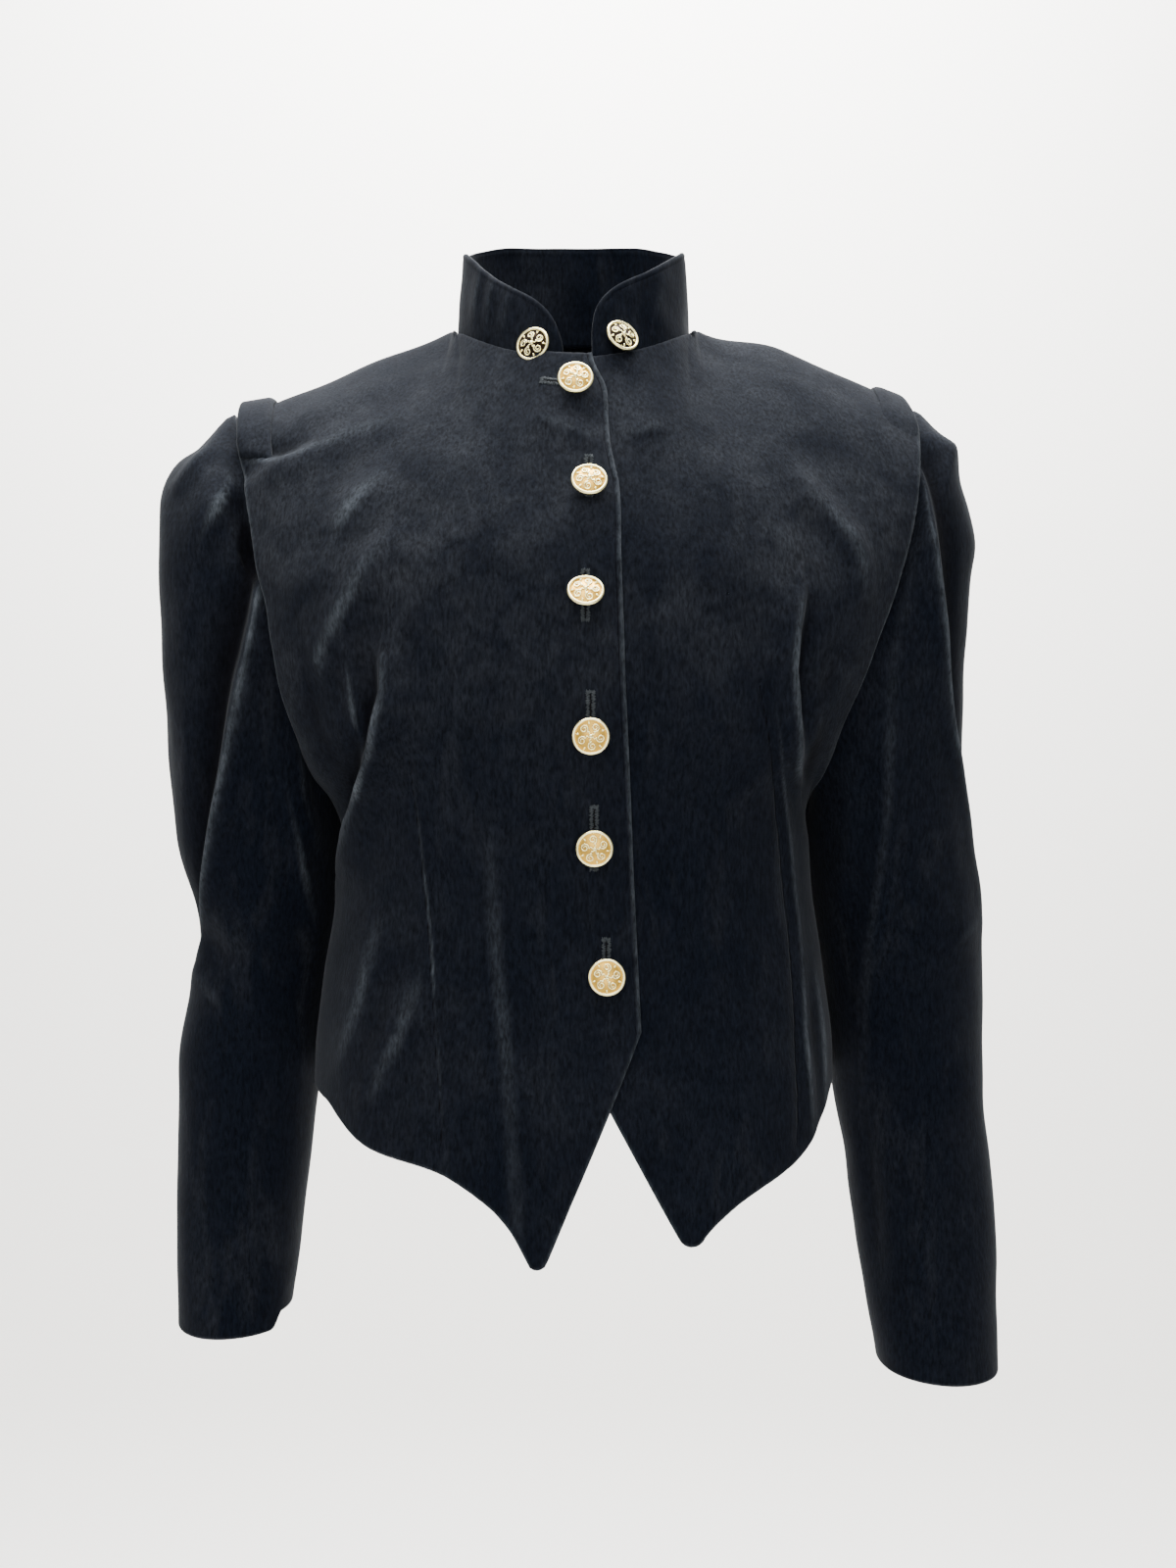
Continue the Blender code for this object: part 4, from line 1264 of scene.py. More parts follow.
LEFT_FRONT = Front(
    name="front_left",
    side=1.0,
    edge_top=-0.0160,
    edge_bottom=-0.0010,
    tip=(0.0675, -0.5655),
    hem_rise=(
        (0.0, 0.0), (0.014, 0.0155), (0.034, 0.0295), (0.056, 0.0392), (0.084, 0.0513), (0.109, 0.0684),
        (0.129, 0.0795), (0.169, 0.0855),
    ),
    tip_round=0.0085,
    flange_top=-0.105,
    flange_top_rise=0.030,
    over=False,
    lap_fade=(0.050, 0.085),
    folds=(
        Fold(((132, -113), (151, -136.5), (162.7, -151), (168.5, -168), (171, -192)), 4.2, 8, 0.4),
        Fold(((158, -215), (152, -262), (148, -300)), -4.5, 9, 0.6),
        Fold(
            ((140, -294), (131, -254), (128, -230), (130, -206), (135, -180)),
            8.5, 13, 0.75, FoldKind.STEP,
        ),
        Fold(((162, -230), (140, -284)), 3, 7, 0.5),
        Fold(((116, -245), (130, -312), (137, -385), (140, -440)), 1.2, 3.5, 0.4),
        Fold(((147, -405), (152, -452), (154, -500)), 2, 4.8, 0.6),
        Fold(((138, -410), (140, -461), (143, -512)), 1.8, 4, 0.6),
        Fold(((112, -140), (135, -165)), 1.6, 10, 0.2),
        Fold(((24, -87.5), (40, -86), (56, -80)), 1.4, 6, 0.3),
        Fold(((60, -300), (75, -420)), 1, 12, 0.1),
    ),
    dart=((0.109, -0.239), (0.122, -0.305), (0.130, -0.381), (0.133, -0.437), (0.132, -0.507)),
    ripple=Ripple(0.0008, 0.110, 0.035, seed=23),
)


@dataclass(frozen=True)
class Back(CutPiece):
    """The back of the jacket, one plain panel."""

    name: str = "back"
    wall: float = CLOTH_WALL
    held: Held = Held.DRAPED
    hem_levels: Pair = (-0.484, -0.480)
    torso: Torso = BACK_TORSO
    columns: int = 132
    low_rows: int = 70
    high_rows: int = 112
    width: float = 0.48
    ripple: Ripple = Ripple(0.0010, 0.130, 0.040, seed=37)
    folds: tuple[Fold, ...] = (
        Fold(((-150, -292), (-104, -330), (-50, -352), (-6, -356)), 3.4, 13, 0.2),
        Fold(((152, -300), (116, -328), (70, -352), (24, -366)), 3, 12.5, 0.2),
        Fold(((-142, -356), (-100, -374), (-52, -378)), 2.4, 10, 0.15),
        Fold(((140, -350), (100, -380), (46, -392)), 2.4, 9.5, 0.15),
        Fold(((-176, -160), (-160, -210), (-136, -262)), 3.2, 13.5, 0.2),
        Fold(((178, -170), (160, -220), (132, -272)), 3, 13.5, 0.2),
        Fold(((-60, -390), (-66, -440), (-74, -484)), 2, 15, 0.1),
        Fold(((58, -400), (66, -448), (80, -484)), 2.2, 16, 0.1),
        Fold(((-20, -90), (4, -170), (-10, -250)), -1.6, 18, 0.1),
    )

    def grid(self) -> ClothGrid:
        """Draws the back, from -X to +X.

        Returns:
            Its outer face.
        """
        torso = self.torso
        columns = spread(self.columns, self.width, True, True)
        share = (2.0 * columns - 1.0) * (1.0 - SEAM_GAP / PANEL_WIDTH)
        low, high = (places[:, None] for places in torso.row_places(self.low_rows, self.high_rows))
        side, middle = self.hem_levels
        hem = middle + (side - middle) * smooth(np.abs(share), 0.0, 1.0) - torso.lowest
        above = torso.top(share) - torso.underarm_up
        up = np.concatenate([hem + (torso.underarm_up - hem) * low, torso.underarm_up + above * high])
        share = np.repeat(share[None, :], len(up), axis=0)
        plain = torso.points(share, up)
        normals = torso.normals(share, up)
        hem_edge = edge_distance(plain, [plain[0]])
        seams = edge_distance(plain, [plain[-1], plain[:, 0], plain[:, -1]])
        lift = fold_lifts(self.folds, plain) + self.ripple.lift(plain)
        turn = np.minimum(TURNED.lift(hem_edge), SEAMED.lift(seams))
        return ClothGrid(
            points=worn_face(plain, normals, lift + turn),
            base=worn_face(plain, normals, lift),
            outward=normals,
            edge=(hem_edge + HEM_FAINT) * MM,
            fold_light_and_shade=painted_fold_marks(self.folds, plain),
            flip=True,
        )


@dataclass(frozen=True)
class Ring:
    """One ring of a sleeve, in millimetres, with the angle of its fold in degrees.

    Its reach to front and back is counted from the depth of its middle.
    """

    x_inner: float
    z_inner: float
    x_outer: float
    z_outer: float
    y_middle: float
    front: float
    back: float
    fold: float

    def points(self, angle: Array) -> Array:
        """Points round the ring.

        Args:
            angle: Angles from its inner end over the front.

        Returns:
            One point for each angle.
        """
        inner, outer = np.array(((self.x_inner, self.z_inner), (self.x_outer, self.z_outer))) / MM
        x, z = inner[:, None] + (outer - inner)[:, None] * (0.5 - 0.5 * np.cos(angle))
        reach = np.where(np.sin(angle) > 0.0, self.front, self.back) / MM
        return np.stack([x, self.y_middle / MM - reach * np.sin(angle), z], axis=1)


# Heights on the panels of the places round the armhole, from the underarm to the shoulder tip
ARMHOLE_UPS = (
    0.262, 0.287, 0.312, 0.338, 0.363, 0.388, 0.412, 0.435,
    0.457, 0.476, 0.490, 0.503, 0.517, 0.534, 0.549, 0.565,
)
SHOULDER_PLACE = len(ARMHOLE_UPS) - 1
# Share of the long fold's height at places round the sleeve, counted from the fold in armhole places: soft on
# one side, and turned under on the other
CREASE_PROFILE = (
    (-2.4, 0.0), (-1.0, 0.42), (-0.35, 0.86), (0.0, 1.0), (0.16, 0.6), (0.38, -0.4), (0.8, -0.6),
    (1.5, -0.22), (2.4, 0.0),
)
CREASE_REACH = 2.4
# Painted highlight on the crest of the same fold and painted shade where it turns under, full where the fold
# is this high
CREASE_MARKS = (
    (-2.4, 0.0), (-0.9, 0.04), (-0.3, 0.2), (-0.02, 0.6), (0.14, 0.0), (0.34, -1.0), (1.0, -0.6),
    (2.4, 0.0),
)
CREASE_FULL = 0.006


@dataclass(frozen=True)
class Sleeve(CutPiece):
    """A sleeve with a puffed head under the panels' edges, one long fold to the elbow and a plain cuff.

    Places round it run from the underarm over the front to the shoulder tip, and on over the back.
    """

    name: str
    side: float
    fold_place: float
    fold_heights: tuple[float, ...]
    rings: tuple[Ring, ...]
    folds: tuple[Fold, ...]
    back_folds: tuple[Fold, ...]
    pulls: tuple[Pull, ...]
    ripple: Ripple
    wall: float = CLOTH_WALL
    held: Held = Held.HUNG
    pull_from: float = 0.0015
    fold_from: float = 0.005
    fold_columns: tuple[float, float, int] = (-0.6, 0.9, 16)
    fold_clear: float = 0.12
    facing_soft: float = 0.25
    vent_rise: float = 0.0
    vent_back: Pair = (-7.0, -4.0)
    vent_front: Pair = (1.2, 1.9)
    vent_height: float = 0.05
    under: float = 0.0038
    under_from: Pair = (0.04, 0.18)
    under_flange: float = 0.0010
    tuck: float = 0.006
    tuck_from: Pair = (0.12, 0.30)
    out: float = 0.0025
    head_from: Pair = (0.15, 0.80)
    columns: int = 170
    rows: int = 215
    length: float = 0.60
    # Painted top light where the sleeve is high and where it faces up, and the least grey of its nap and
    # painted light
    painted_top_light: float = 0.5
    least_nap_and_light: float = 0.06

    def armhole(self, places: Array) -> tuple[Array, Array, Array]:
        """Reads the armhole that the panels' edges make.

        Args:
            places: Places round it.

        Returns:
            Points, the panels' outward normals there and the directions off their edges.
        """
        ups = read_table(list(enumerate(ARMHOLE_UPS)), np.minimum(places, 2 * SHOULDER_PLACE - places))
        at_front = (places <= SHOULDER_PLACE)[:, None]
        ones = np.ones(len(places))
        points = np.where(at_front, FRONT_TORSO.points(ones, ups), BACK_TORSO.points(ones, ups))
        inside = ones - SHARE_STEP
        normals = np.where(at_front, FRONT_TORSO.normals(inside, ups), BACK_TORSO.normals(inside, ups))
        tangents = np.roll(points, -1, axis=0) - np.roll(points, 1, axis=0)
        return points, normals, unit(np.cross(tangents, normals))

    def stations(self, places: Array) -> Array:
        """Loops that the sleeve runs through, from under the armhole's edge to the cuff.

        Args:
            places: Places round the sleeve.

        Returns:
            Points by loop and place.
        """
        points, normals, off_edge = self.armhole(places)
        from_underarm = np.minimum(places, 2 * SHOULDER_PLACE - places) / SHOULDER_PLACE
        even = math.pi * places / SHOULDER_PLACE
        at_front = np.where(places < SHOULDER_PLACE, np.sin(even), 0.0)
        under = self.under * smooth(from_underarm, *self.under_from) + self.under_flange * at_front
        tuck = self.tuck * smooth(from_underarm, *self.tuck_from) - SEAM_GAP
        first = points - off_edge * tuck[:, None] - normals * under[:, None]
        second = points + off_edge * self.out - normals * under[:, None]
        fold_even = math.pi * self.fold_place / SHOULDER_PLACE
        whole = 2.0 * math.pi
        loops = []
        for ring in self.rings:
            angle = np.interp(even, (0.0, fold_even, whole), (0.0, math.radians(ring.fold), whole))
            loops.append(ring.points(angle))
        at_head = smooth(from_underarm, *self.head_from)[:, None]
        loops[0] = loops[0] * at_head + (second + off_edge * self.out) * (1.0 - at_head)
        return np.array([first, second, *loops])

    def grid(self) -> ClothGrid:
        """Draws the sleeve, head to cuff.

        Returns:
            Its outer face.
        """
        even = np.linspace(0.0, 2.0 * SHOULDER_PLACE, self.columns + 1)[:-1]
        beside = self.fold_place + np.linspace(*self.fold_columns)
        clear = (even < beside[0] - self.fold_clear) | (even > beside[-1] + self.fold_clear)
        places = np.sort(np.concatenate([even[clear], beside]))
        loops = self.stations(places)
        steps = np.linalg.norm(np.diff(loops, axis=0), axis=2).mean(axis=1)
        knots = np.concatenate([[0.0], np.cumsum(steps)])
        downs = knots[-1] * spread(self.rows, self.length, False, True)
        plain = np.array([through(knots, loops, np.full(len(places), down)) for down in downs])
        around = np.roll(plain, -1, axis=1) - np.roll(plain, 1, axis=1)
        outward = unit(np.cross(np.gradient(plain, axis=0), around))
        outward *= np.sign(((plain - plain.mean(axis=1, keepdims=True)) * outward).sum())
        facing = smooth(-outward[..., 1], -self.facing_soft, self.facing_soft)
        below_head = smooth(downs, knots[1], knots[1] + self.fold_from)[:, None]
        lift = facing * fold_lifts(self.folds, plain) + (1.0 - facing) * fold_lifts(self.back_folds, plain)
        marks = facing * painted_fold_marks(self.folds, plain) + (1.0 - facing) * painted_fold_marks(self.back_folds, plain)
        past = places - self.fold_place
        near = np.abs(past) < CREASE_REACH
        crease, ridge = (read_table(table, past) * near for table in (CREASE_PROFILE, CREASE_MARKS))
        heights = read_table(tuple(zip(knots, self.fold_heights)), downs)[:, None]
        lift = (lift + self.ripple.lift(plain)) * below_head + heights * crease
        marks = marks * below_head + ridge * np.clip(heights / CREASE_FULL, 0.0, 1.0)
        cuff = (knots[-1] - downs)[:, None] * np.ones(len(places))
        # The cuff is cut away at its inner end, with a corner on the front
        inner = np.where(places > SHOULDER_PLACE, places - 2 * SHOULDER_PLACE, places)
        vent = smooth(inner, *self.vent_back) * (1.0 - smooth(inner, *self.vent_front))
        plain[..., 2] += self.vent_rise * vent * (1.0 - smooth(cuff, 0.0, self.vent_height))
        off_seam = smooth(downs, knots[1], knots[1] + self.pull_from)[:, None, None]
        faces = []
        for turn in (TURNED.lift(cuff), 0.0):
            face = worn_face(plain, outward, lift + turn, self.side)
            faces.append(face + off_seam * sum(pull.move(face) for pull in self.pulls))
        return ClothGrid(
            points=faces[0],
            base=faces[1],
            outward=outward * (self.side, 1.0, 1.0),
            edge=(cuff + HEM_FAINT) * MM,
            fold_light_and_shade=np.clip(marks, -1.0, 1.0),
            closed=True,
            flip=self.side > 0.0,
            painted_top_light=self.painted_top_light,
            least=self.least_nap_and_light,
        )


RIGHT_SLEEVE = Sleeve(
    name="sleeve_right",
    side=-1.0,
    fold_place=8.0,
    fold_heights=(0.001, 0.004, 0.007, 0.008, 0.008, 0.007, 0.003, 0.0, 0.0, 0.0),
    rings=(
        Ring(152.5, -319, 246.5, -71, 6, 66, 72, 94),
        Ring(150.5, -324, 270, -115, 6, 64, 72, 86),
        Ring(152.5, -356, 268, -235, 10, 65, 68, 96),
        Ring(156.5, -390, 261.5, -325, 14, 61, 63, 112),
        Ring(162.5, -427, 247, -403, 18, 54, 56, 150),
        Ring(169.5, -490, 262, -488, 16, 47, 51, 166),
        Ring(177, -570, 259, -570, 6, 43, 46, 166),
        Ring(183, -642, 256, -645, -6, 39, 41, 166),
    ),
    folds=(
        Fold(((210, -80), (219, -111), (225.5, -130), (234, -156)), 4.8, 14, 0.4, FoldKind.STEP),
        Fold(((226, -68), (240, -90), (254, -112)), 3.4, 6),
        # A trough under the panel's edge, with painted shadow in it
        Fold(((209, -112), (207, -139), (202, -172)), -5.6, 9, 1.0),
        Fold(((201, -111), (209, -110.5), (216, -108)), 2.4, 6.5, 0.25),
        Fold(((212.6, -123.3), (215, -144.5)), 1.4, 3.5, 0.25),
        Fold(((176, -262), (170, -300), (164, -340)), 3.4, 5, 0.45),
        Fold(((182, -270), (173, -340), (166, -390)), 3.4, 5.5, 0.45),
        Fold(((244, -388), (222, -404), (196, -410)), -2.2, 8),
        Fold(((246, -415), (220, -440)), 2, 9),
    ),
    back_folds=(
        Fold(((214, -70), (226, -120), (236, -170)), 3.6, 6.5),
        Fold(((228, -74), (252, -116)), 3, 6),
        Fold(((180, -250), (210, -330), (240, -396)), 3, 11),
        Fold(((172, -400), (210, -410), (244, -400)), -3, 8),
        Fold(((178, -440), (214, -424), (246, -430)), 2.6, 8),
        Fold(((186, -480), (226, -470)), 1.8, 9),
    ),
    pulls=(
        Pull(-0.2240, -0.0610, 0.0, 0.0080, 0.0105),
        Pull(-0.2470, -0.0735, 0.0032, -0.0034, 0.0120),
        Pull(-0.2700, -0.1500, -0.0016, 0.0, 0.0450),
    ),
    ripple=Ripple(0.0009, 0.120, 0.035, seed=41),
    vent_rise=0.0095,
)
LEFT_SLEEVE = Sleeve(
    name="sleeve_left",
    side=1.0,
    fold_place=11.0,
    fold_heights=(0.001, 0.003, 0.005, 0.006, 0.006, 0.005, 0.002, 0.0, 0.0, 0.0),
    rings=(
        Ring(152.5, -319, 248, -78, 6, 66, 72, 114),
        Ring(150.5, -324, 256.5, -140, 6, 64, 72, 117),
        Ring(152.5, -356, 254, -230, 10, 65, 68, 129),
        Ring(158.5, -390, 256.5, -300, 14, 61, 63, 147),
        Ring(164.5, -432, 266.5, -390, 18, 55, 56, 162),
        Ring(172, -500, 269, -490, 16, 49, 51, 172),
        Ring(185, -590, 275, -590, 6, 45, 47, 172),
        Ring(195.5, -670, 273.5, -674, -6, 41, 42, 172),
    ),
    folds=(
        Fold(((206, -87), (231, -85), (250, -83)), 2.4, 7.5, 0.35),
        Fold(((204, -170), (200, -243), (193, -330), (187, -400), (186, -500)), 3.4, 8.5, 0.28),
        Fold(((184, -490), (191, -560), (194, -625)), -3, 6),
        Fold(((216, -300), (220, -420)), 1.4, 14, 0.1),
        Fold(((178, -270), (172, -330), (170, -384)), 2.4, 7, 0.15),
        Fold(((262, -380), (236, -405)), 1.8, 9),
    ),
    back_folds=(
        Fold(((214, -72), (226, -120), (232, -170)), 3.6, 6.5),
        Fold(((230, -80), (248, -130)), 3, 6),
        Fold(((180, -252), (206, -330), (232, -400)), 3, 11),
        Fold(((174, -412), (214, -402), (258, -396)), -2.8, 8),
        Fold(((180, -450), (220, -434), (260, -436)), 2.6, 8.5),
    ),
    pulls=(
        Pull(0.2240, -0.0565, 0.0, 0.0025, 0.0090),
        Pull(0.2370, -0.0605, -0.0008, -0.0022, 0.0110),
        Pull(0.2465, -0.0675, -0.0026, -0.0037, 0.0110),
        Pull(0.2548, -0.1010, -0.0030, 0.0, 0.0150),
        Pull(0.2573, -0.1430, 0.0040, 0.0, 0.0170),
        Pull(0.2567, -0.1700, 0.0010, 0.0, 0.0150),
    ),
    ripple=Ripple(0.0009, 0.120, 0.035, seed=59),
    painted_top_light=0.25,
    least_nap_and_light=0.18,
)


@dataclass(frozen=True)
class Collar(CutPiece):
    """The stand collar: one band round the neck, open at the front, with rounded ends.

    The heights of its top edge are counted along the neck seam from each end to the back.
    """

    name: str = "collar"
    wall: float = 0.0029
    held: Held = Held.FOLDED
    height_back: float = 0.051
    end_angles: Pair = (5.0, 9.0)
    right_heights: Line = (
        (0.0, 0.0115), (0.0006, 0.0145), (0.002, 0.0187), (0.0058, 0.026), (0.0105, 0.0312),
        (0.016, 0.0347), (0.023, 0.0375), (0.031, 0.0392), (0.04, 0.0406), (0.0575, 0.043), (0.07, 0.0452),
        (0.086, 0.0476), (0.105, 0.049), (0.124, 0.05), (0.15, 0.0552), (0.18, 0.0588), (0.24, 0.059),
    )
    left_heights: Line = (
        (0.0, 0.02), (0.0006, 0.0245), (0.0018, 0.03), (0.0052, 0.0358), (0.0105, 0.0402), (0.0178, 0.0435),
        (0.0253, 0.0452), (0.0332, 0.0462), (0.042, 0.0468), (0.052, 0.0477), (0.063, 0.0485),
        (0.078, 0.0491), (0.1, 0.0498), (0.124, 0.0506), (0.15, 0.0552), (0.18, 0.0588), (0.24, 0.059),
    )
    lean: float = 0.035
    inset: float = 0.0034
    sunk: float = 0.0075
    columns: int = 190
    rows: int = 26
    seam_points: int = 760
    button_in: float = 0.0175
    bead_depth: float = 0.0003
    groove_faint: float = 0.45
    edge_faint: float = 3.2
    fold_depth: float = 0.02
    # Painted top light on the collar's right end, fading in across it, and the least grey of its nap and
    # painted light
    painted_top_light_right: float = 0.5
    painted_top_light_across: Pair = (-0.010, 0.030)
    least_nap_and_light: float = 0.03
    ripple: Ripple = Ripple(0.0006, 0.060, 0.020, seed=71)
    folds: tuple[Fold, ...] = (
        Fold(((-62, -8), (-59, 34)), 1.6, 4.2, 0.35),
        Fold(((-54, -14), (-50, 22)), 1.8, 3.6, 0.4),
        Fold(((-44, -20), (-40, 10)), 1, 4, 0.25),
        Fold(((52, -12), (56, 26)), 1.2, 5, 0.25),
    )

    def seam(self) -> tuple[Array, Array]:
        """The neck seam from the collar's right end round the back to its left end.

        Returns:
            Its points, and the distances along it.
        """
        start, end = (math.radians(angle) for angle in self.end_angles)
        angles = np.linspace(start, 2.0 * math.pi - end, self.seam_points)
        share = np.minimum(angles, 2.0 * math.pi - angles) / math.pi
        front = SHOULDERS.top_line(np.minimum(share * 2.0, 1.0) * SHOULDERS.neck_share, NECK_FRONT)
        back = SHOULDERS.top_line(np.minimum((1.0 - share) * 2.0, 1.0) * SHOULDERS.neck_share, NECK_BACK)
        points = np.where((share < 0.5)[:, None], front, back)
        points[:, 0] *= np.where(angles < math.pi, -1.0, 1.0)
        return points, lengths_along(points)

    def flat_grid(self, length: float) -> Array:
        """Lays the collar flat: a patch between the seam, the top and the upright ends.

        Args:
            length: Length of the seam.

        Returns:
            Distances along and up of every point.
        """
        across = spread(self.columns, length, True, True)[None, :, None]
        up = spread(self.rows, self.height_back, False, True)[:, None, None]
        fine = length * 0.5 * (1.0 - np.cos(np.linspace(0.0, math.pi, SEARCH_STEPS)))
        from_right = read_table(self.right_heights, fine)
        from_left = read_table(self.left_heights, length - fine)
        edge = np.stack([fine, np.where(fine < length / 2.0, from_right, from_left)], axis=1)
        top = even_line(edge, across[0, :, 0])[None, :]
        low = np.concatenate([across * length, np.zeros(across.shape)], axis=2)
        return low + up * (top - low)

    def grid(self) -> ClothGrid:
        """Draws the collar from its base to its top, with the level normals of the seam below each point.

        Returns:
            Its outer face.
        """
        seam, along = self.seam()
        flat = self.flat_grid(along[-1])
        plain = read_line(seam, along, flat[..., 0])
        share = flat[..., 1] / self.height_back
        plain[..., :2] *= (1.0 - self.inset / SHOULDERS.half_width - self.lean * share)[..., None]
        plain[..., 2] += flat[..., 1] - self.sunk * (1.0 - share)
        tangent = np.gradient(seam[:, :2], along, axis=0)
        out = unit(np.stack([tangent[:, 1], -tangent[:, 0], np.zeros(len(along))], axis=1))
        out = out * np.sign((out[:, :2] * seam[:, :2]).sum(axis=1, keepdims=True))
        normals = unit(read_line(out, along, flat[..., 0]))
        turned = edge_distance(plain, [plain[-1], plain[:, 0], plain[:, -1]])
        at_front = smooth(-plain[..., 1], 0.0, self.fold_depth)
        lift = at_front * fold_lifts(self.folds, plain) + self.ripple.lift(plain)
        lift = lift - self.bead_depth * bell(turned - BEAD_GROOVE, BEAD_WIDTH)
        base = plain + normals * lift[..., None]
        return ClothGrid(
            points=base + normals * TURNED.lift(turned)[..., None],
            base=base,
            outward=normals,
            groove=self.groove_faint + np.abs(turned - BEAD_GROOVE) * MM,
            edge=self.edge_faint + turned * MM,
            fold_light_and_shade=painted_fold_marks(self.folds, plain) * at_front,
            flip=True,
            painted_top_light=self.painted_top_light_right * smooth(-plain[..., 0], *self.painted_top_light_across),
            least=self.least_nap_and_light,
        )

    def seat(self, end: int, button_up: float) -> tuple[Array, Array]:
        """Finds the place of a button at an end of the collar.

        Args:
            end: 0 for the right end and -1 for the left one.
            button_up: Height above the seam.

        Returns:
            The place and the normal there.
        """
        seam, along = self.seam()
        seam = seam if end == 0 else seam[::-1]
        inset = 1.0 - self.inset / SHOULDERS.half_width
        foot = read_line(seam, along, self.button_in)
        rise = np.array((-self.lean * foot[0], -self.lean * foot[1], self.height_back))
        foot = foot * (inset, inset, 1.0) - (0.0, 0.0, self.sunk)
        normal = unit(np.cross(foot - seam[0], rise))
        normal = normal * -np.sign(normal[1])
        return foot + unit(rise) * button_up, normal


COLLAR = Collar()


@dataclass(frozen=True)
class ShoulderBand(CutPiece):
    """A short raised band over the end of a shoulder, a tuck stitched down on both panels.

    Heights are those of its inner and outer edge on the shoulder, and its ends are lower by a share.
    """

    name: str
    side: float
    heights: Pair
    wall: float = 0.0010
    held: Held = Held.FOLDED
    share: Pair = (0.905, 0.992)
    ups: Pair = (0.514, 0.521)
    drop: float = 0.009
    front_end: float = 0.45
    back_end: float = 0.20
    lift: float = 0.0009
    front_lift: float = 0.0009
    round_radius: float = 0.0040
    width: float = 0.022
    half_length: float = 0.050
    columns: int = 20
    rows: int = 26

    def grid(self) -> ClothGrid:
        """Draws the band, from its front end over the shoulder to its back end.

        Returns:
            Its outer face.
        """
        share = self.share[0] + (self.share[1] - self.share[0]) * spread(self.columns, self.width, True, True)
        along = spread(self.rows, self.half_length, True, False)
        top = FRONT_TORSO.top_up
        inner_share = (self.share[1] - share) / (self.share[1] - self.share[0])
        front_low = self.ups[0] - self.drop * inner_share
        front = [FRONT_TORSO.points(share, front_low + (top - front_low) * a) for a in along]
        back_ups = self.ups[1] + (top - self.ups[1]) * along
        back = [BACK_TORSO.points(share, np.full(len(share), up)) for up in back_ups[::-1][1:]]
        plain = np.array(front + back)
        normals = unit(np.cross(np.gradient(plain, axis=1), np.gradient(plain, axis=0)))
        rim = edge_distance(plain, [plain[0], plain[-1], plain[:, 0], plain[:, -1]])
        row = np.arange(len(plain))
        knots = (0, len(front) - 1, len(plain) - 1)
        rise = np.interp(row, knots, (self.front_end, 1.0, self.back_end))
        seat = np.interp(row, knots, (self.front_lift, self.lift, self.lift))
        heights = np.interp(share, self.share, self.heights) * rise[:, None]
        inside = np.clip(1.0 - rim / self.round_radius, 0.0, 1.0)
        points = worn_face(plain, normals, seat[:, None] + heights * np.sqrt(1.0 - inside**2), self.side)
        outward = normals * (self.side, 1.0, 1.0)
        return ClothGrid(points, base=points, outward=outward, flip=self.side < 0.0)


RIGHT_BAND = ShoulderBand("shoulder_band_right", -1.0, (0.0040, 0.0095))
LEFT_BAND = ShoulderBand(
    "shoulder_band_left", 1.0, (0.0030, 0.0036), front_end=0.0, front_lift=-0.0012, round_radius=0.0070
)


@dataclass
class MeshParts:
    """Points and faces that gather into one mesh, with a material number for each face."""

    points: list[Array] = field(default_factory=list)
    faces: list[list[int]] = field(default_factory=list)
    finishes: list[int] = field(default_factory=list)

    def add(self, points: Array, faces: Sequence[Sequence[int]], finish: int) -> None:
        """Adds a part.

        Args:
            points: Its points, in rows or one by one.
            faces: Corners of its faces, counted in the part.
            finish: Its material number.
        """
        start = sum(len(part) for part in self.points)
        self.points.append(points.reshape(-1, 3))
        self.faces.extend([[start + corner for corner in face] for face in faces])
        self.finishes.extend([finish] * len(faces))

    def add_turned(self, profile: Line, sides: int, finish: int) -> None:
        """Adds a shape turned about Z.

        Args:
            profile: Radius and height of its rings, top to bottom.
            sides: Points round it.
            finish: Its material number.
        """
        angles = np.linspace(0.0, 2.0 * math.pi, sides, endpoint=False)
        flat = np.stack([np.cos(angles), np.sin(angles), np.zeros(sides)], axis=1)
        rings = [r * flat + (0.0, 0.0, z) for r, z in profile]
        grid = ClothGrid(np.array(rings), closed=True, flip=True)
        self.add(grid.points, grid.faces(), finish)

    def add_tube(self, path: Array, radii: Array, sides: int, finish: int) -> None:
        """Adds a tapering tube, closed at both ends.

        Args:
            path: Points along its middle.
            radii: Its radius at each of them.
            sides: Points round it.
            finish: Its material number.
        """
        along = unit(np.gradient(path, axis=0))
        across = unit(np.cross(along, np.array((0.0, 0.0, 1.0))))
        over = np.cross(across, along)
        angles = np.linspace(0.0, 2.0 * math.pi, sides, endpoint=False)[None, :, None]
        round_path = across[:, None] * np.cos(angles) + over[:, None] * np.sin(angles)
        grid = ClothGrid(path[:, None] + round_path * radii[:, None, None], closed=True, flip=True)
        last = (len(path) - 1) * sides
        caps = [list(range(sides)), list(range(last + sides - 1, last - 1, -1))]
        self.add(grid.points, grid.faces() + caps, finish)


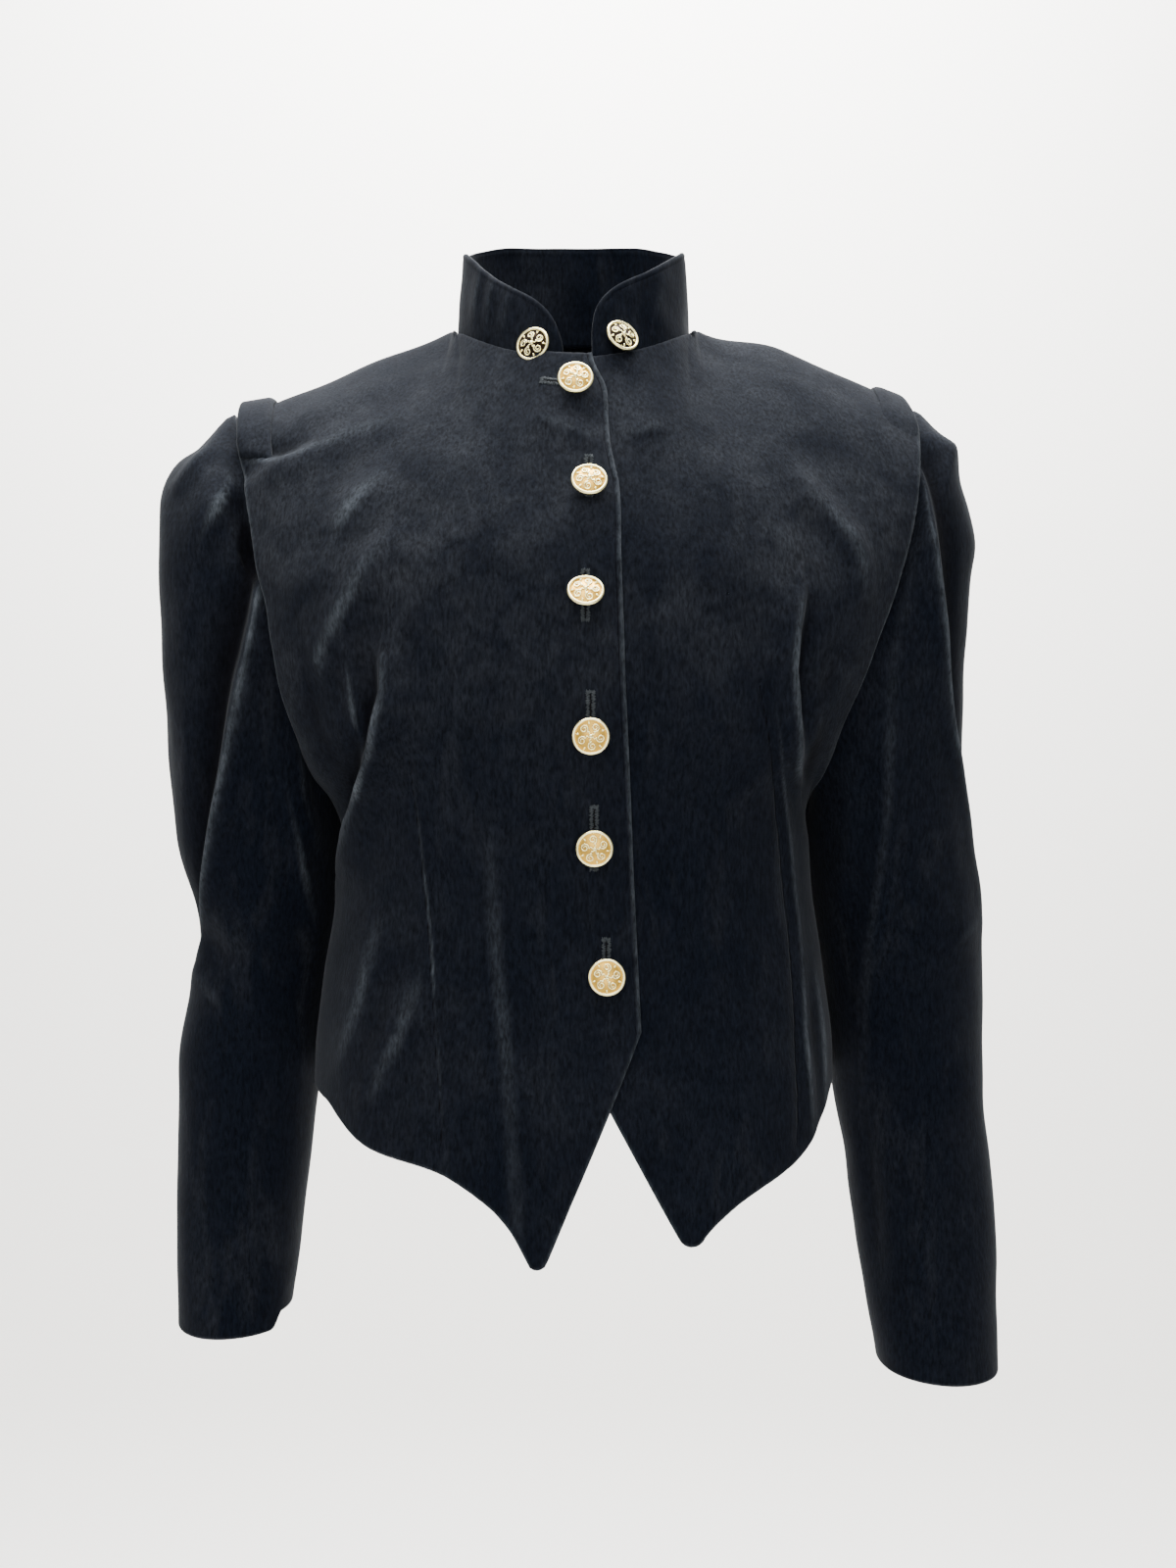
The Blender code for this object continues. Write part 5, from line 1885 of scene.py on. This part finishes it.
@dataclass(frozen=True)
class Button:
    """A gilt shank button: a rim round a sunk ground, with openwork scrolls and a small boss in the middle.

    A profile gives radius and height from the top down. Bowed stems join the boss to the scrolls, and a small
    leaf lies between each two scrolls.
    """

    ground_profile: Line = (
        (0.0001, 0.0066), (0.003, 0.0064), (0.006, 0.0057), (0.009, 0.0046),
    )
    rim_profile: Line = (
        (0.0088, 0.0044), (0.0089, 0.0052), (0.0092, 0.0057), (0.0097, 0.006), (0.0103, 0.0058),
        (0.0107, 0.0052), (0.0108, 0.0045), (0.0104, 0.0037), (0.008, 0.0031), (0.005, 0.0027),
        (0.0022, 0.0021), (0.002, 0.0), (0.0001, 0.0),
    )
    boss_profile: Line = (
        (0.0001, 0.008), (0.0006, 0.0079), (0.0011, 0.0075), (0.0014, 0.0067), (0.0014, 0.006),
    )
    scrolls: int = 5
    scroll_middle: float = 0.0056
    scroll_radii: Pair = (0.0025, 0.0006)
    scroll_turns: float = 1.55
    scroll_steps: int = 26
    wire: Pair = (0.00052, 0.00034)
    leaf_middle: float = 0.0078
    leaf_length: float = 0.0022
    leaf_lift: float = 0.0004
    leaf_widths: Pair = (0.25, 1.15)
    leaf_power: float = 0.7
    leaf_steps: int = 9
    stem_start: float = 0.0012
    stem_short: float = 0.0010
    stem_bow: float = 0.5
    stem_steps: int = 10
    sides: int = 64
    boss_sides: int = 16
    wire_sides: int = 6

    GILT: ClassVar[int] = 0
    GROUND: ClassVar[int] = 1

    def on_ground(self, x: Array, y: Array, above: float) -> Array:
        """Points some way above the sunk ground."""
        ground = np.interp(np.hypot(x, y), *np.array(self.ground_profile).T)
        return np.stack([x, y, ground + above], axis=1)

    def parts(self) -> MeshParts:
        """Makes the button with its foot at the origin and its face up.

        Returns:
            Its parts.
        """
        made = MeshParts()
        made.add_turned(self.ground_profile, self.sides, self.GROUND)
        made.add_turned(self.rim_profile, self.sides, self.GILT)
        made.add_turned(self.boss_profile, self.boss_sides, self.GILT)
        scroll, leaf, stem = (
            np.linspace(0.0, 1.0, steps) for steps in (self.scroll_steps, self.leaf_steps, self.stem_steps)
        )
        thick, thin = self.wire
        coil = self.scroll_radii[0] + (self.scroll_radii[1] - self.scroll_radii[0]) * scroll
        scroll_wide = thick + (thin - thick) * scroll
        leaf_out = self.leaf_middle + self.leaf_length * (leaf - 0.5)
        leaf_ends, leaf_more = self.leaf_widths
        leaf_wide = thick * (leaf_ends + leaf_more * np.sin(math.pi * leaf**self.leaf_power))
        stem_out = self.stem_start + (self.scroll_middle - self.scroll_radii[0] - self.stem_short) * stem
        for number in range(self.scrolls):
            turn = 2.0 * math.pi * number / self.scrolls
            angle = turn + math.pi + 2.0 * math.pi * self.scroll_turns * scroll
            x = self.scroll_middle * math.cos(turn) + coil * np.cos(angle)
            y = self.scroll_middle * math.sin(turn) + coil * np.sin(angle)
            made.add_tube(self.on_ground(x, y, thin), scroll_wide, self.wire_sides, self.GILT)
            angle = turn + math.pi / self.scrolls
            path = self.on_ground(leaf_out * math.cos(angle), leaf_out * math.sin(angle), self.leaf_lift)
            made.add_tube(path, leaf_wide, self.wire_sides, self.GILT)
            angle = turn - self.stem_bow * np.sin(math.pi * stem)
            path = self.on_ground(stem_out * np.cos(angle), stem_out * np.sin(angle), thin)
            made.add_tube(path, np.full(len(stem), thin), self.wire_sides, self.GILT)
        return made

    def sew_on(
        self, node: str, seat: tuple[Array, Array], tilt: float, spin: float, finishes: Sequence[Material]
    ) -> None:
        """Makes one button with its foot on the cloth.

        Args:
            node: The solid that it stands for.
            seat: Where its foot meets the cloth, and the cloth's normal there.
            tilt: Degrees that its face is tipped up.
            spin: Degrees that it has turned on its shank.
            finishes: The gilt and the ground.
        """
        made = self.parts()
        place, normal = seat
        facing = Matrix.Rotation(math.radians(-tilt), 3, "X") @ Vector(normal)
        turn = Vector((0.0, 0.0, 1.0)).rotation_difference(facing).to_matrix()
        turn = turn @ Matrix.Rotation(math.radians(spin), 3, "Z")
        shank = self.rim_profile[-2][0]
        clear = SEAM_GAP + shank * abs(math.sin(math.radians(tilt)))
        points = np.concatenate(made.points) @ np.array(turn).T + place + np.asarray(normal) * clear
        piece = add_mesh(f"{node}_gilt", points, made.faces, finishes)
        piece.data.polygons.foreach_set("material_index", made.finishes)
        place_piece(piece, node)


@dataclass(frozen=True)
class FrontButton:
    """Place of a button down the front: level, across (+X), tilt and spin in degrees."""

    level: float
    across: float
    tilt: float
    spin: float


FRONT_BUTTONS = (
    FrontButton(-0.0570, 0.0015, -4.0, 12.0),
    FrontButton(-0.1205, 0.0095, 6.0, 47.0),
    FrontButton(-0.1880, 0.0075, 26.0, 5.0),
    FrontButton(-0.2680, 0.0105, 4.0, 63.0),
    FrontButton(-0.3325, 0.0125, -3.0, 31.0),
    FrontButton(-0.4070, 0.0195, 3.0, 20.0),
)


# Node of each button on the collar, the collar's end, the button's height, and its tilt and spin in degrees
COLLAR_BUTTONS = (
    ("collar_button_right", 0, 0.0115, 8.0, 8.0),
    ("collar_button_left", -1, 0.0150, 22.0, 40.0),
)


@dataclass(frozen=True)
class Buttonhole:
    """A worked buttonhole by its button: how far its first end lies from the button, and its length.

    A level one runs in from the closing edge, and an upright one from above its button down.
    """

    button: int
    start: float
    length: float
    upright: bool = True


BUTTONHOLES = (
    Buttonhole(0, 0.0200, 0.0260, upright=False),
    Buttonhole(1, 0.0175, 0.0245),
    Buttonhole(2, 0.0150, 0.0290),
    Buttonhole(3, 0.0255, 0.0280),
    Buttonhole(4, 0.0235, 0.0360),
    Buttonhole(5, 0.0220, 0.0280),
)


@dataclass(frozen=True)
class StitchTree:
    """Geometry Nodes that lay a short thread at each point, turned as the point says."""

    name: str = "thread_stitches"
    sides: int = 6
    rings: int = 5

    SOCKETS: ClassVar[tuple[tuple[str, str, str], ...]] = (
        ("Points", "INPUT", "NodeSocketGeometry"),
        ("Stitch Length", "INPUT", "NodeSocketFloat"),
        ("Thread Radius", "INPUT", "NodeSocketFloat"),
        ("Unevenness", "INPUT", "NodeSocketFloat"),
        ("Seed", "INPUT", "NodeSocketInt"),
        ("Thread", "INPUT", "NodeSocketMaterial"),
        ("Stitches", "OUTPUT", "NodeSocketGeometry"),
    )

    def make(self) -> bpy.types.NodeTree:
        """Makes the tree, with its sizes, seed and thread as inputs.

        Returns:
            The node tree.
        """
        tree = bpy.data.node_groups.new(self.name, "GeometryNodeTree")
        for name, way, kind in self.SOCKETS:
            tree.interface.new_socket(name, in_out=way, socket_type=kind)
        given = tree.nodes.new("NodeGroupInput").outputs
        ball = {"Segments": self.sides, "Rings": self.rings, "Radius": 1.0}
        thread = add_node(tree, "GeometryNodeMeshUVSphere", ball)
        half = add_node(tree, "ShaderNodeMath", {0: given["Stitch Length"], 1: 0.5}, operation="MULTIPLY")
        radius = given["Thread Radius"]
        size = add_node(tree, "ShaderNodeCombineXYZ", {"X": radius, "Y": radius, "Z": half})
        stitch = add_node(tree, "GeometryNodeTransform", {"Geometry": thread, "Scale": size})
        uneven = given["Unevenness"]
        less, shorter, longer = (
            add_node(tree, "ShaderNodeMath", {0: start, 1: uneven}, operation=way)
            for start, way in ((0.0, "SUBTRACT"), (1.0, "SUBTRACT"), (1.0, "ADD"))
        )
        between = {0: less, 1: uneven, "Seed": given["Seed"]}
        wobble = add_node(tree, "FunctionNodeRandomValue", between, data_type="FLOAT_VECTOR")
        turn = add_node(tree, "GeometryNodeInputNamedAttribute", {"Name": "turn"}, data_type="FLOAT_VECTOR")
        turned = add_node(tree, "ShaderNodeVectorMath", {0: turn, 1: wobble}, operation="ADD")
        rotation = add_node(tree, "FunctionNodeEulerToRotation", {0: turned})
        between = {2: shorter, 3: longer, "Seed": given["Seed"]}
        scale = add_node(tree, "FunctionNodeRandomValue", between, 1, data_type="FLOAT")
        inputs = {"Points": given["Points"], "Instance": stitch, "Rotation": rotation, "Scale": scale}
        laid = add_node(tree, "GeometryNodeInstanceOnPoints", inputs)
        real = add_node(tree, "GeometryNodeRealizeInstances", {0: laid})
        soft = add_node(tree, "GeometryNodeSetShadeSmooth", {"Geometry": real})
        dyed = add_node(tree, "GeometryNodeSetMaterial", {"Geometry": soft, "Material": given["Thread"]})
        add_node(tree, "NodeGroupOutput", {"Stitches": dyed})
        return tree


@dataclass(frozen=True)
class ButtonholeWork:
    """Stitches round the buttonholes of the right front, and the dark slit between them.

    Each row of stitches starts a share of the slit's width from its middle, and a bar lies across each end.
    """

    front: Front = RIGHT_FRONT
    spacing: float = 0.00062
    stitch_length: float = 0.0026
    thread_radius: float = 0.00030
    unevenness: float = 0.28
    seed: int = 5
    stitch_lift: float = 0.00022
    stitch_dip: float = -0.10
    fray: float = 0.35
    bar_stitches: int = 7
    bar_reach: float = 0.8
    bar_lift: float = 2.0
    slit_width: float = 0.0011
    slit_clear: float = 0.25
    slit_lift: float = 0.00025
    slit_steps: int = 18
    slit_ends: Pair = (0.03, 0.97)
    slit_power: float = 0.5

    def line(self, hole: Buttonhole, places: Array) -> tuple[Array, Array, Array]:
        """Lays a buttonhole on the cloth.

        Args:
            hole: The buttonhole.
            places: Distances from its first end.

        Returns:
            Points along it, the directions across it and the cloth's normals.
        """
        button = FRONT_BUTTONS[hole.button]
        rows = []
        for place in places:
            if hole.upright:
                rows.append(self.front.seat(button.across, button.level + hole.start - place))
            else:
                rows.append(self.front.seat(button.across - hole.start + place, button.level))
        points, normals = (np.array(column) for column in zip(*rows))
        return points, unit(np.cross(np.gradient(points, axis=0), normals)), normals

    def seeds(self) -> tuple[Array, Array]:
        """Sets out every stitch: two rows along each slit, and a bar at each end.

        Returns:
            Points and turns of the stitches.
        """
        rng = np.random.default_rng(self.seed)
        reach = 0.5 * self.stitch_length + self.slit_clear * self.slit_width
        bar = np.linspace(-1.0, 1.0, self.bar_stitches)[:, None] * self.stitch_length * self.bar_reach
        points, turns = [], []
        for hole in BUTTONHOLES:
            places = np.arange(0.0, hole.length, self.spacing)
            middle, across, normals = self.line(hole, places)
            along = unit(np.gradient(middle, axis=0))
            for side in (-1.0, 1.0):
                points.append(middle + across * side * reach + normals * self.stitch_lift)
                lean = across + along * rng.normal(0.0, self.fray, size=(len(places), 1))
                turns.append(self.turns(lean + normals * self.stitch_dip * side, normals))
            for end in (0, -1):
                lifted = normals[end] * self.stitch_lift * self.bar_lift
                points.append(middle[end] + across[end] * bar + lifted)
                lengthwise = np.repeat(along[[end]], self.bar_stitches, axis=0)
                turns.append(self.turns(lengthwise, normals[: self.bar_stitches]))
        return np.concatenate(points), np.concatenate(turns)

    @staticmethod
    def turns(along: Array, normals: Array) -> Array:
        """Turns that lay threads on the cloth.

        Args:
            along: Directions of the threads.
            normals: The cloth's normals.

        Returns:
            Euler angles of each thread.
        """
        made = []
        for direction, normal in zip(unit(along), normals):
            z_axis = Vector(direction)
            x_axis = (Vector(normal) - z_axis * z_axis.dot(Vector(normal))).normalized()
            y_axis = z_axis.cross(x_axis)
            made.append(Matrix((x_axis, y_axis, z_axis)).transposed().to_euler())
        return np.array([tuple(turn) for turn in made])

    def build_stitches(self, thread: Material) -> None:
        """Makes the stitches of all buttonholes as one mesh.

        Args:
            thread: Their material.
        """
        points, turns = self.seeds()
        carrier = add_mesh("buttonhole_stitches", points, [], [])
        attribute = carrier.data.attributes.new("turn", "FLOAT_VECTOR", "POINT")
        attribute.data.foreach_set("vector", turns.reshape(-1).astype(np.float32))
        tree = StitchTree().make()
        modifier = carrier.modifiers.new("stitches", "NODES")
        modifier.node_group = tree
        values = {
            "Stitch Length": self.stitch_length,
            "Thread Radius": self.thread_radius,
            "Unevenness": self.unevenness,
            "Seed": self.seed,
            "Thread": thread,
        }
        for item in tree.interface.items_tree:
            if item.in_out == "INPUT" and item.name in values:
                modifier[item.identifier] = values[item.name]
        bpy.context.view_layer.update()
        evaluated = carrier.evaluated_get(bpy.context.evaluated_depsgraph_get())
        mesh = bpy.data.meshes.new_from_object(evaluated)
        carrier.modifiers.remove(modifier)
        carrier.data = mesh
        place_piece(carrier)

    def build_slits(self, finish: Material) -> None:
        """Makes the slits as narrow dark lenses on the cloth.

        Args:
            finish: Their material.
        """
        made = MeshParts()
        bow = np.sin(math.pi * np.linspace(*self.slit_ends, self.slit_steps))[:, None] ** self.slit_power
        for hole in BUTTONHOLES:
            places = np.linspace(0.0, hole.length, self.slit_steps)
            middle, across, normals = self.line(hole, places)
            sides = [middle + across * side * 0.5 * self.slit_width * bow for side in (-1.0, 1.0)]
            rows = np.stack([side + normals * self.slit_lift for side in sides], axis=1)
            made.add(rows, ClothGrid(rows, flip=hole.upright).faces(), 0)
        piece = add_mesh("buttonhole_slits", np.concatenate(made.points), made.faces, [finish])
        place_piece(piece)


@dataclass(frozen=True)
class Studio:
    """A plain pale floor and wall, soft lights and the camera in front of the jacket."""

    wall_colour: str = "#f8f6f2"
    wall_depth: float = 1.9
    floor_level: float = -1.78
    bend: float = 0.35
    bend_steps: int = 12
    half_width: float = 3.2
    reach_front: float = 2.6
    wall_height: float = 2.6
    world_colour: str = "#eef0f2"
    world_strength: float = 0.7
    camera_place: Triple = (0.009, -1.024, -0.296)
    camera_turn: Triple = (90.0, 0.0, 0.0)
    lens: float = 36.0
    sensor: float = 36.0
    # Broad soft lights: where each stands, what it is aimed at, its size and its power in watts
    lights: tuple[tuple[str, Triple, Triple, float, float], ...] = (
        ("top_light", (-0.05, -1.00, 1.25), (0.0, 0.0, -0.15), 1.2, 29.0),
        ("front_light", (0.18, -1.9, -0.15), (0.0, 0.0, -0.30), 1.3, 21.0),
        ("side_light", (-1.7, -0.9, 0.2), (0.0, 0.0, -0.3), 1.1, 10.0),
        ("wall_light", (0.0, 0.6, 1.9), (0.0, 1.9, -0.4), 2.0, 400.0),
    )

    def build(self) -> None:
        """Makes the stage, the lights, the world and the camera."""
        self.build_sweep()
        self.build_lights()
        world = bpy.data.worlds.new("studio")
        bpy.context.scene.world = world
        world.use_nodes = True
        sky = {"Color": srgb(self.world_colour), "Strength": self.world_strength}
        set_inputs(world.node_tree, world.node_tree.nodes["Background"], sky)
        self.build_camera()

    def build_lights(self) -> None:
        """Makes the lights."""
        for name, place, aim, size, power in self.lights:
            data = bpy.data.lights.new(name, "AREA")
            data.shape = "SQUARE"
            data.size = size
            data.energy = power
            light = bpy.data.objects.new(name, data)
            light.location = place
            light.rotation_euler = (Vector(aim) - Vector(place)).to_track_quat("-Z", "Y").to_euler()
            bpy.context.collection.objects.link(light)

    def build_camera(self) -> None:
        """Makes the camera, level and straight in front."""
        data = bpy.data.cameras.new("camera")
        data.sensor_fit = "VERTICAL"
        data.sensor_height = self.sensor
        data.lens = self.lens
        data.dof.use_dof = False
        camera = bpy.data.objects.new("camera", data)
        camera.location = self.camera_place
        camera.rotation_euler = tuple(math.radians(turn) for turn in self.camera_turn)
        bpy.context.collection.objects.link(camera)
        bpy.context.scene.camera = camera

    def build_sweep(self) -> None:
        """Makes the floor and wall in one sheet with a soft bend between them."""
        bend = np.linspace(0.0, math.pi / 2, self.bend_steps)
        y = [-self.reach_front, *(self.wall_depth - self.bend + self.bend * np.sin(bend)), self.wall_depth]
        z = [self.floor_level, *(self.floor_level + self.bend * (1.0 - np.cos(bend))), self.wall_height]
        rows = [[(x, *yz) for x in (-self.half_width, self.half_width)] for yz in zip(y, z)]
        grid = ClothGrid(np.array(rows))
        finish = Matt("painted_studio_wall", self.wall_colour).make()
        add_mesh("studio_sweep", grid.points.reshape(-1, 3), grid.faces(), [finish])


@dataclass(frozen=True)
class Jacket:
    """The whole jacket: its cut pieces, buttons and buttonholes, with their finishes."""

    pieces: tuple[CutPiece, ...] = (
        RIGHT_FRONT,
        LEFT_FRONT,
        Back(),
        RIGHT_SLEEVE,
        LEFT_SLEEVE,
        COLLAR,
        RIGHT_BAND,
        LEFT_BAND,
    )
    velvet: Velvet = Velvet()
    # Polished gilt: pale gold with small bright glints
    gilt: Metal = Metal("gilt_cast_brass", "#fff3b4", 0.25)
    # Gilt left dull as it was cast: a deeper gold behind the scrolls
    ground: Metal = Metal("dull_gilt_ground", "#cda244", 0.36)
    # An almost black ground behind the scrolls of the collar buttons, much darker than the front buttons'
    # ground
    dark_ground: Metal = Metal("dark_brass_ground", "#1e160d", 0.45)
    # Faded cotton thread: dull grey against the black
    thread: Matt = Matt("grey_cotton_thread", "#2f3336", 0.8)
    # Velvet down in a slit, where no light comes back
    slit: Matt = Matt("slit_shadow_velvet", "#020203", 1.0)

    def build(self) -> None:
        """Makes and dresses every piece."""
        velvet = self.velvet.make()
        gilt, ground, dark_ground = (metal.make() for metal in (self.gilt, self.ground, self.dark_ground))
        thread, slit = self.thread.make(), self.slit.make()
        for piece in self.pieces:
            piece.build(velvet)
        button = Button()
        for number, on in enumerate(FRONT_BUTTONS, start=1):
            seat = RIGHT_FRONT.seat(on.across, on.level)
            button.sew_on(f"button_{number}", seat, on.tilt, on.spin, (gilt, ground))
        for node, end, up, tilt, spin in COLLAR_BUTTONS:
            button.sew_on(node, COLLAR.seat(end, up), tilt, spin, (gilt, dark_ground))
        work = ButtonholeWork()
        work.build_slits(slit)
        work.build_stitches(thread)


def main() -> None:
    """Builds the jacket and its studio."""
    logging.basicConfig(level=logging.INFO, format="%(name)s: %(message)s")
    Jacket().build()
    Studio().build()


if __name__ == "__main__":
    main()
